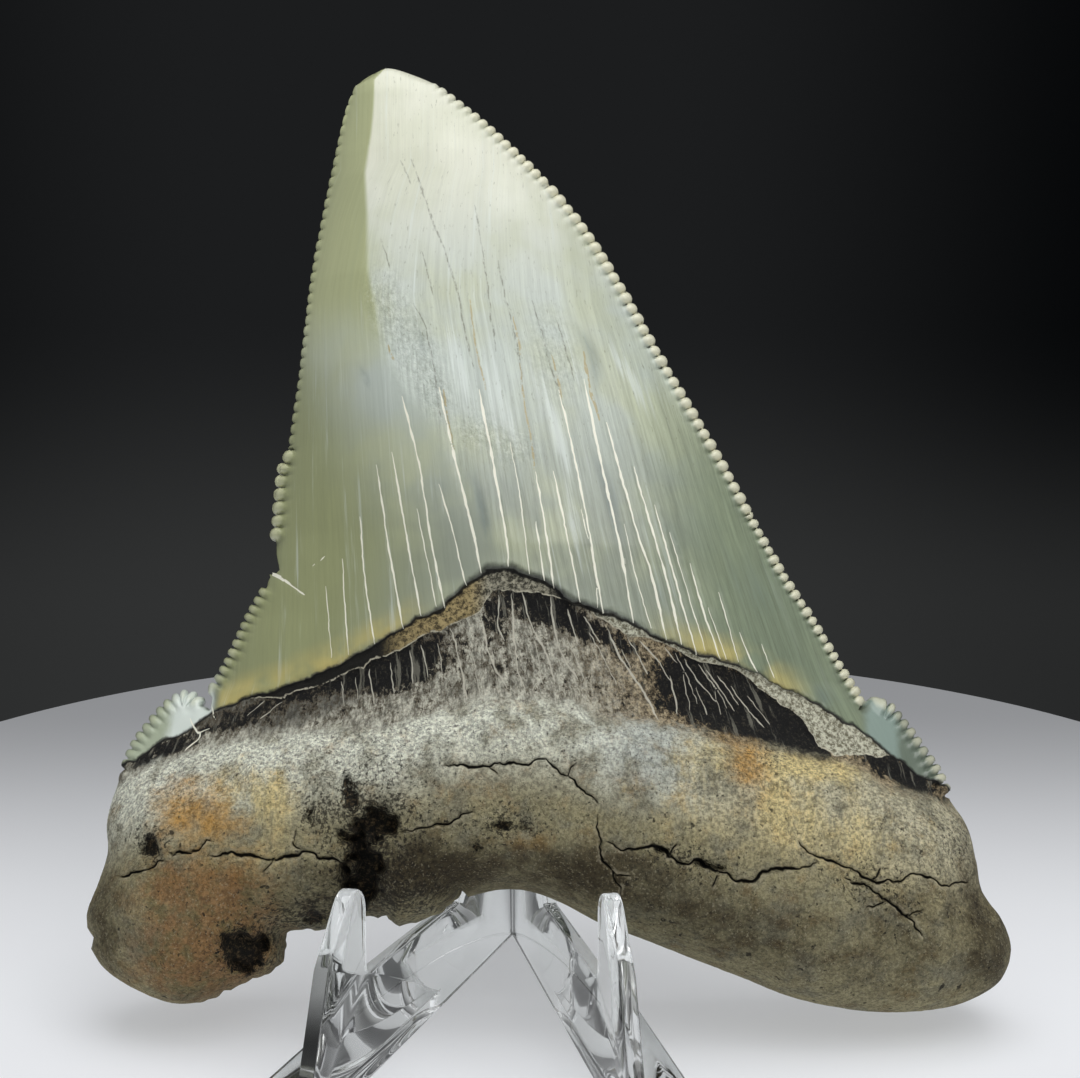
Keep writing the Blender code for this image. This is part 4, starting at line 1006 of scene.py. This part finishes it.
def root_colour(f, place):
    """The root: sandy grey, lighter towards the collar partly with painted top light, salted near the collar,
    and stained yellow, orange, rust and dark.
    """
    up, across = f.field("above_collar"), f.field("across")
    # Lighter towards the collar: partly the root's paler colour there, partly painted light on its up-facing
    # top and painted shade on its lower part
    high = up.rise(-8.0, -2.0)
    right = across.rise(1.0, 8.0)
    tan = across.rise(8.0, 14.0) * up.rise(-11.0, -5.0)
    base = f.mix(high, colour(146, 139, 108), colour(214, 216, 201))
    base = f.mix(0.85 * right * high, base, colour(176, 181, 174))
    base = f.mix(0.65 * tan, base, colour(184, 172, 132))
    mottle = f.noise(place, 0.42, 3.0, 0.65)
    base = f.mix(0.8 * mottle.rise(0.44, 0.66), base, colour(124, 121, 102))
    soft = 1.2 * (f.noise(place, 0.55, 4.0, 0.7) - 0.5)
    down = f.noise(f.vector(across, up * 0.16, 3.0), 1.5, 3.0, 0.7)
    yellow = 0.85 * f.field("yellow") + soft + 0.9 * (down - 0.5)
    base = f.mix(yellow.rise(0.1, 0.95), base, colour(203, 187, 136))
    base = f.mix((0.8 * f.field("orange") + 1.3 * soft).rise(0.0, 1.0), base, colour(176, 136, 74))
    moss = f.noise(place, 0.5, 4.0, 0.7).rise(0.44, 0.62)
    rusty = f.mix(moss, colour(136, 98, 58), colour(106, 92, 56))
    base = f.mix(0.8 * (0.8 * f.field("rust") + 1.3 * soft).rise(0.0, 1.2), base, rusty)
    base = f.mix((0.8 * f.field("dark") + soft).rise(0.1, 1.0), base, colour(64, 56, 38))
    salted = up.rise(-6.5, -2.5) * (1 - 0.45 * across.rise(-14.0, -4.0) - 0.35 * right)
    grit = 0.62 + 0.36 * salted + 0.24 * tan
    grain = f.noise(place, 3.7, 3.0, 0.8).rise(0.38, 0.62)
    coarse = f.noise(place, 1.5, 3.0, 0.7).rise(0.3, 0.7)
    base = f.scaled(base, 0.93 - 0.5 * grit + grit * grain + 0.24 * coarse)
    flecks = f.noise(place, 1.25, 2.0, 0.6).rise(0.68, 0.72)
    base = f.mix(0.85 * flecks * (1 - salted), base, colour(30, 26, 18))
    pepper = f.noise(place, 3.4, 4.0, 0.75) + 0.1 * f.field("peppered") + 0.02 * salted
    base = f.mix(0.85 * pepper.rise(0.6, 0.66), base, colour(34, 30, 22))
    salt = f.noise(f.scaled(place, 1.3), 3.9, 2.0, 0.7) + 0.05 * salted
    glaze = (f.field("orange") + f.field("yellow")).rise(0.1, 1.0)
    # The salt flecks are lighter towards the collar too, with the same painted top light
    salt_tone = f.mix(high, colour(196, 188, 160), colour(230, 227, 208))
    salt_tone = f.mix(0.75 * glaze, salt_tone, colour(206, 184, 126))
    return f.mix((0.34 + 0.34 * salted) * salt.rise(0.59, 0.67), base, salt_tone)


def step_colour(f, across, chalk):
    """The ledge between the enamel and the flaked band: dark, sandy, stony, dark and porous in turn."""
    sandy = f.mix(chalk.rise(0.38, 0.6), colour(72, 62, 40), colour(176, 158, 112))
    porous = f.mix(chalk.rise(0.4, 0.6), colour(112, 108, 88), colour(212, 211, 190))
    stone = f.mix(chalk.rise(0.4, 0.62), colour(52, 50, 40), colour(170, 166, 146))
    shelf = f.mix(across.rise(-11.8, -9.6), colour(22, 21, 17), sandy)
    shelf = f.mix(across.rise(-5.2, -3.6), shelf, stone)
    shelf = f.mix(across.rise(0.2, 1.6), shelf, colour(20, 19, 16))
    return f.mix(across.rise(3.6, 5.0), shelf, porous)


def broken_colour(f, place, whole, enamel, chalk):
    """The tooth with its hairlines filled, a painted highlight beside its cracks, and its hollows and cracks
    dark.
    """
    hair = f.field("in_hairline").rise(-0.035, 0.015)
    whole = f.mix(0.96 * hair, whole, colour(244, 242, 224))
    speckle = 2.8 * (f.noise(place, 1.9, 4.0, 0.85) - 0.5)
    hollow = (f.field("in_hollow") + speckle).rise(-0.02, 0.24)
    crack = (f.field("in_crack") + 0.12 * (chalk - 0.5)).rise(-0.04, 0.03)
    pit = f.mix(0.8 * chalk.rise(0.5, 0.66), colour(6, 6, 5), colour(108, 90, 62))
    # Painted highlight: a broken pale rim beside the root's cracks
    highlight_breakup = f.noise(place, 1.4, 3.0, 0.7).rise(0.46, 0.62)
    painted_crack_highlight = f.field("in_crack").rise(-0.3, -0.06) * (1 - enamel) * highlight_breakup
    whole = f.mix(0.45 * painted_crack_highlight, whole, colour(206, 196, 166))
    whole = f.mix(0.97 * hollow, whole, pit)
    return f.mix(0.97 * crack, whole, colour(8, 7, 6))


def tooth_gloss(f, place, streak, up, enamel, band):
    """How rough the tooth's surface is, and its finest relief: glossy enamel over a dull, grainy root."""
    polish = f.noise(f.vector(streak, up * 0.1, 5.0), 2.2, 3.0, 0.6)
    dull = 0.72 - 0.22 * band + 0.2 * f.noise(place, 2.0, 2.0)
    roughness = (0.26 + 0.16 * polish) * enamel + dull * (1 - enamel)
    grain = f.noise(place, 5.0, 4.0, 0.8)
    scratches = f.noise(f.vector(streak, up * 0.04, 9.0), 4.5, 3.0, 0.7)
    ripples = f.noise(f.vector(streak * 1.6, up * 1.3, 8.0), 2.0, 3.0, 0.7) * f.field("rippled")
    relief = grain * (1 - enamel) * (1 - 0.4 * band) * 0.2 + (scratches * 0.014 + ripples * 0.14) * enamel
    return roughness, f.bump(relief)


def tooth_finish():
    """Enamel, band and root in one material, told apart by the fields that the mesh carries."""
    f = Finish("fossil_enamel_and_root")
    place = f.coordinates()
    streak, up, across = f.field("streak"), f.field("up"), f.field("across")
    above_enamel, above_flake = f.field("above_enamel"), f.field("above_flake")
    chalk = f.noise(place, 3.0, 4.0, 0.8)
    fray = 0.12 * (f.noise(place, 2.5, 3.0) - 0.5)
    flaked = above_flake + fray
    enamel = (above_enamel + fray).rise(-0.04, 0.04)
    ledge = flaked.rise(-0.05, 0.05)
    collar_fray = 2.4 * (f.noise(place, 0.8, 5.0, 0.7) - 0.5)
    band = (f.field("above_collar") + collar_fray).rise(-1.1, 0.2)
    tongue = (f.field("in_tongue") + fray).rise(-0.05, 0.05) * ledge

    below = f.mix(band, root_colour(f, place), band_colour(f, place, streak, up))
    pale_crack = f.field("in_band_crack").rise(-0.03, 0.02) * band
    below = f.mix(0.9 * pale_crack, below, colour(206, 202, 186))
    below = f.mix(ledge, below, step_colour(f, across, chalk))
    lip = flaked.rise(-0.07, -0.02) * (1 - flaked.rise(0.0, 0.1)) * f.field("on_front")
    ragged = f.noise(place, 1.8, 3.0, 0.7).rise(0.38, 0.54)
    below = f.mix(0.9 * lip * ragged, below, colour(214, 208, 186))
    apex = 1 - abs(across + 1.5).rise(3.0, 10.0)
    # Painted shadow: a black line just under the enamel's raised lower edge
    near = (above_enamel + 2.5 * fray).rise(-0.36 + 0.14 * (1 - apex), -0.2 + 0.1 * (1 - apex))
    below = f.mix(0.95 * near * (1 - 0.8 * tongue), below, colour(8, 8, 7))
    gold = enamel_colour(f, place, streak, up)
    # Painted shade: a soft dark band on the enamel just above its lower edge
    shade = (1 - ((above_enamel + 3.0 * fray) * (2.2 - 1.2 * apex)).rise(0.0, 0.6)) * 0.88
    whole = f.mix(enamel, below, f.mix(shade, gold, colour(26, 27, 20)))

    roughness, normal = tooth_gloss(f, place, streak, up, enamel, band)
    f.fill(f.shader, {
        "Base Color": broken_colour(f, place, whole, enamel, chalk),
        "Roughness": roughness, "Normal": normal, "Coat Weight": 0.6 * enamel,
        "Coat Roughness": 0.2, "Coat IOR": 1.5, "IOR": 1.5, "Specular IOR Level": 0.25,
    })
    return f.material


def acrylic_finish():
    """Clear acrylic with a trace of handling on it."""
    f = Finish("clear_acrylic")
    place = f.coordinates()
    smudge = f.noise(place, 0.12, 3.0, 0.6).rise(0.5, 0.75)
    f.fill(f.shader, {
        "Base Color": f.mix(smudge, colour(252, 254, 253), colour(244, 248, 246)),
        "Roughness": 0.01 + 0.03 * smudge,
        "IOR": 1.49, "Transmission Weight": 1.0,
    })
    return f.material


def floor_finish():
    """A plain pale matt table top with a painted glow, and a painted fall-off of light that dims it towards
    its far edge.
    """
    f = Finish("pale_table_with_painted_glow")
    place = f.coordinates()
    even = f.noise(place, 0.05, 2.0)
    # Painted fall-off of light: both the colour and the painted glow dim towards the far edge
    far = f.axes(place)[1].rise(0.0, TABLE_PAINTED_FALLOFF_BY)
    near_tone = f.mix(even, colour(188, 189, 193), colour(192, 194, 197))
    f.fill(f.shader, {
        "Base Color": f.mix(far, near_tone, colour(140, 141, 144)),
        "Emission Color": f.mix(far, TABLE_PAINTED_GLOW, TABLE_FAR_PAINTED_GLOW),
        "Emission Strength": 1.0, "Roughness": 0.55 + 0.05 * even,
    })
    return f.material


def relief_tree():
    """Geometry nodes that raise a bead at each pitch of the cutting edges, and a grain on the root."""
    group = bpy.data.node_groups.new("beads_and_grain", "GeometryNodeTree")
    for name, kind in (("Tooth", "Geometry"), ("Bead Height", "Float"), ("Bead Length", "Float"),
                       ("Grain Height", "Float"), ("Grain Size", "Float"), ("Finish", "Material")):
        group.interface.new_socket(name, in_out="INPUT", socket_type="NodeSocket" + kind)
    group.interface.new_socket("Tooth", in_out="OUTPUT", socket_type="NodeSocketGeometry")
    t = Tree(group)
    start = group.nodes.new("NodeGroupInput")

    def given(name):
        return Wire(t, start.outputs[name])

    def field(name):
        return t.node("GeometryNodeInputNamedAttribute", {"data_type": "FLOAT"}, {"Name": name})

    turn = t.node("ShaderNodeMath", {"operation": "FRACT"}, {0: field("bead_turn")})
    swing = (2.0 * turn - 1.0) / BEAD_FILL
    inset = field("from_cut") / (given("Bead Length") * field("bead_reach"))
    inner = (inset - BEAD_CENTRE) / (1.0 - BEAD_CENTRE)
    ball = (1 - swing * swing - inner * inner).most(0.0) ** 0.5
    tail = (1 - swing * swing).most(0.0) * (1 - inset / TAIL_REACH).most(0.0) * TAIL_HEIGHT
    bead = ball.most(tail) * field("bead_size")
    between = (swing * swing).least(1.0) ** 3.0
    gap = between * (1 - inset / GAP_REACH).most(0.0) * field("bead_size") * GAP_DEPTH
    place = t.node("GeometryNodeInputPosition")
    lumps = t.node("ShaderNodeTexNoise", inputs={
        "Vector": place, "Scale": 1.0 / given("Grain Size"), "Detail": 2.0})
    lift = (bead - gap) * given("Bead Height") + (lumps - 0.5) * given("Grain Height") * field("root_share")
    normal = t.node("GeometryNodeInputNormal")
    offset = t.node("ShaderNodeVectorMath", {"operation": "SCALE"}, {0: normal, "Scale": lift})
    marked = t.node("GeometryNodeStoreNamedAttribute", {"data_type": "FLOAT", "domain": "POINT"},
                    {"Geometry": given("Tooth"), "Name": "bead", "Value": bead})
    moved = t.node("GeometryNodeSetPosition", inputs={"Geometry": marked, "Offset": offset})
    real = t.node("GeometryNodeRealizeInstances", inputs={"Geometry": moved})
    dressed = t.node("GeometryNodeSetMaterial", inputs={"Geometry": real, "Material": given("Finish")})
    end_node = group.nodes.new("NodeGroupOutput")
    group.links.new(dressed.socket, end_node.inputs["Tooth"])
    return group


def baked(piece, group, values):
    """Applies a geometry node tree to a piece and keeps the result as its plain mesh."""
    modifier = piece.modifiers.new("relief", "NODES")
    modifier.node_group = group
    sockets = {item.name: item.identifier for item in group.interface.items_tree if item.in_out == "INPUT"}
    for name, value in values.items():
        modifier[sockets[name]] = value
    bpy.context.view_layer.update()
    graph = bpy.context.evaluated_depsgraph_get()
    mesh = bpy.data.meshes.new_from_object(piece.evaluated_get(graph), depsgraph=graph)
    piece.modifiers.remove(modifier)
    old = piece.data
    piece.data = mesh
    bpy.data.meshes.remove(old)
    piece.data.name = piece.name


def make_tooth():
    """The whole tooth: a front and a back sheet over one outline, joined round the rim."""
    edge, bare, rim, root, beads = tooth_outline()
    bare_line = even_line(np.vstack([bare, bare[:1]]), SAMPLE_STEP, rounded=False)
    root_line = even_line(bare[root], SAMPLE_STEP, rounded=False)
    sheets = []
    for front, grid, fields in ((True, FRONT_GRID, front_fields), (False, BACK_GRID, back_fields)):
        inner = inner_points(bare, root, grid, front)
        inner = inner[is_inside(inner, edge)]
        gap, _ = nearest(inner, edge)
        inner = inner[gap > OUTER_GAP]
        points = np.vstack([edge, inner])
        heights, values = fields(points, bare_line, root_line, beads)
        heights[:len(edge)] = root_middle(*bare.T) + (rim if front else -rim)
        sheets.append((in_world(points, heights), triangles(edge, inner), values))
    (front_points, front_faces, front_values), (back_points, back_faces, back_values) = sheets
    start = len(front_points)
    faces = front_faces + [[start + k for k in reversed(face)] for face in back_faces]
    for i in range(len(edge)):
        j = (i + 1) % len(edge)
        faces.append([i, start + i, start + j])
        faces.append([i, start + j, j])
    tooth = new_piece("fossil_tooth", np.vstack([front_points, back_points]), faces)
    for name in front_values:
        values = np.concatenate([front_values[name], back_values[name]])
        layer = tooth.data.attributes.new(name, "FLOAT", "POINT")
        layer.data.foreach_set("value", values.astype(np.float32))
    tooth.data.shade_smooth()
    baked(tooth, relief_tree(), {
        "Bead Height": BEAD_HEIGHT * MM, "Bead Length": BEAD_LENGTH,
        "Grain Height": GRAIN_HEIGHT * MM, "Grain Size": GRAIN_SIZE * MM, "Finish": tooth_finish(),
    })
    return tooth


def make_stand():
    """The easel, from the solid's own mesh, with its sharp edges eased."""
    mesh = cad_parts["stand"].data.copy()
    mesh.transform(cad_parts["stand"].matrix_world)
    shape = bmesh.new()
    shape.from_mesh(mesh)
    bmesh.ops.remove_doubles(shape, verts=shape.verts, dist=MERGED_BELOW * MM)
    flat = math.radians(FLAT_BELOW)
    bmesh.ops.dissolve_limit(shape, angle_limit=flat, verts=shape.verts, edges=shape.edges)
    eased = math.radians(EASED_ABOVE)
    sharp = [e for e in shape.edges if len(e.link_faces) == 2 and e.calc_face_angle(0.0) > eased]
    bmesh.ops.bevel(shape, geom=sharp, offset=EASED_EDGE * MM, segments=2, profile=0.5, affect="EDGES",
                    clamp_overlap=True)
    shape.to_mesh(mesh)
    shape.free()
    stand = bpy.data.objects.new("clear_easel", mesh)
    bpy.context.scene.collection.objects.link(stand)
    mesh.materials.clear()
    mesh.materials.append(acrylic_finish())
    mesh.shade_smooth()
    mesh.set_sharp_from_angle(angle=math.radians(SHARP_ABOVE))
    return stand


def make_floor():
    """A pale table top with a rounded far edge."""
    x, y = TABLE_MIDDLE
    outline = [
        (x + TABLE_HALF_WIDTH * math.cos(turn), y + TABLE_FAR_REACH * math.sin(turn))
        for turn in np.linspace(0.0, math.pi, 97)
    ]
    outline += [(x - TABLE_HALF_WIDTH, TABLE_NEAR), (x + TABLE_HALF_WIDTH, TABLE_NEAR)]
    count = len(outline)
    vertices = [(a * MM, b * MM, z * MM) for z in TABLE_LEVELS for a, b in outline]
    faces = [list(range(count)), list(range(2 * count - 1, count - 1, -1))]
    faces += [[i, count + i, count + (i + 1) % count, (i + 1) % count] for i in range(count)]
    floor = new_piece("table_top", vertices, faces)
    floor.data.materials.append(floor_finish())
    return floor


def make_lamp(name, place, aim, size, watts):
    """A soft rectangular lamp that faces a point."""
    light = bpy.data.lights.new(name, "AREA")
    light.shape = "RECTANGLE"
    light.size, light.size_y = size[0] * MM, size[1] * MM
    light.energy = watts
    lamp = bpy.data.objects.new(name, light)
    lamp.location = Vector(place) * MM
    lamp.rotation_euler = (Vector(aim) - Vector(place)).to_track_quat("-Z", "Y").to_euler()
    bpy.context.scene.collection.objects.link(lamp)


def make_lights():
    """A large soft lamp above and to the right, a top light, and a room that is bright behind the camera."""
    make_lamp("key", (70.0, -130.0, 230.0), (0.0, 5.0, 35.0), (200.0, 160.0), 0.22)
    make_lamp("top", (0.0, -10.0, 300.0), (0.0, 0.0, 0.0), (260.0, 220.0), 0.38)
    world = bpy.data.worlds.new("studio")
    bpy.context.scene.world = world
    world.use_nodes = True
    t = Tree(world.node_tree)
    across, forward, up = t.axes(t.node("ShaderNodeTexCoord", output="Generated"))
    height = up.rise(-0.17, -0.02)
    side = abs(across + 0.05).rise(0.1, 0.34) * (0.35 + 0.65 * height)
    wall = t.mix(height, colour(49, 50, 50), colour(28, 29, 30))
    wall = t.mix(side, wall, colour(6, 7, 8))
    room = t.mix(forward.rise(0.9, 0.3), wall, ROOM_COLOUR)
    t.fill(world.node_tree.nodes["Background"], {"Color": room, "Strength": 1.0})


def make_camera():
    """The camera of the photograph's view."""
    lens = bpy.data.cameras.new("view")
    lens.sensor_fit = "HORIZONTAL"
    lens.sensor_width = SENSOR_WIDTH
    lens.lens = LENS
    lens.clip_start = 0.01
    camera = bpy.data.objects.new("view", lens)
    camera.location = Vector(CAMERA_PLACE) * MM
    camera.rotation_euler = (0.5 * math.pi - CAMERA_DROP, 0.0, 0.0)
    bpy.context.scene.collection.objects.link(camera)
    bpy.context.scene.camera = camera


make_camera()
tooth = make_tooth()
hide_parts("tooth")
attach(tooth, "root")
stand = make_stand()
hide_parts("stand")
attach(stand, "root")
make_floor()
make_lights()

scene = bpy.context.scene
scene.view_settings.view_transform = "Standard"
scene.cycles.max_bounces = CLEAR_BOUNCES
scene.cycles.glossy_bounces = CLEAR_BOUNCES
scene.cycles.transmission_bounces = CLEAR_BOUNCES
scene.cycles.diffuse_bounces = SOFT_BOUNCES
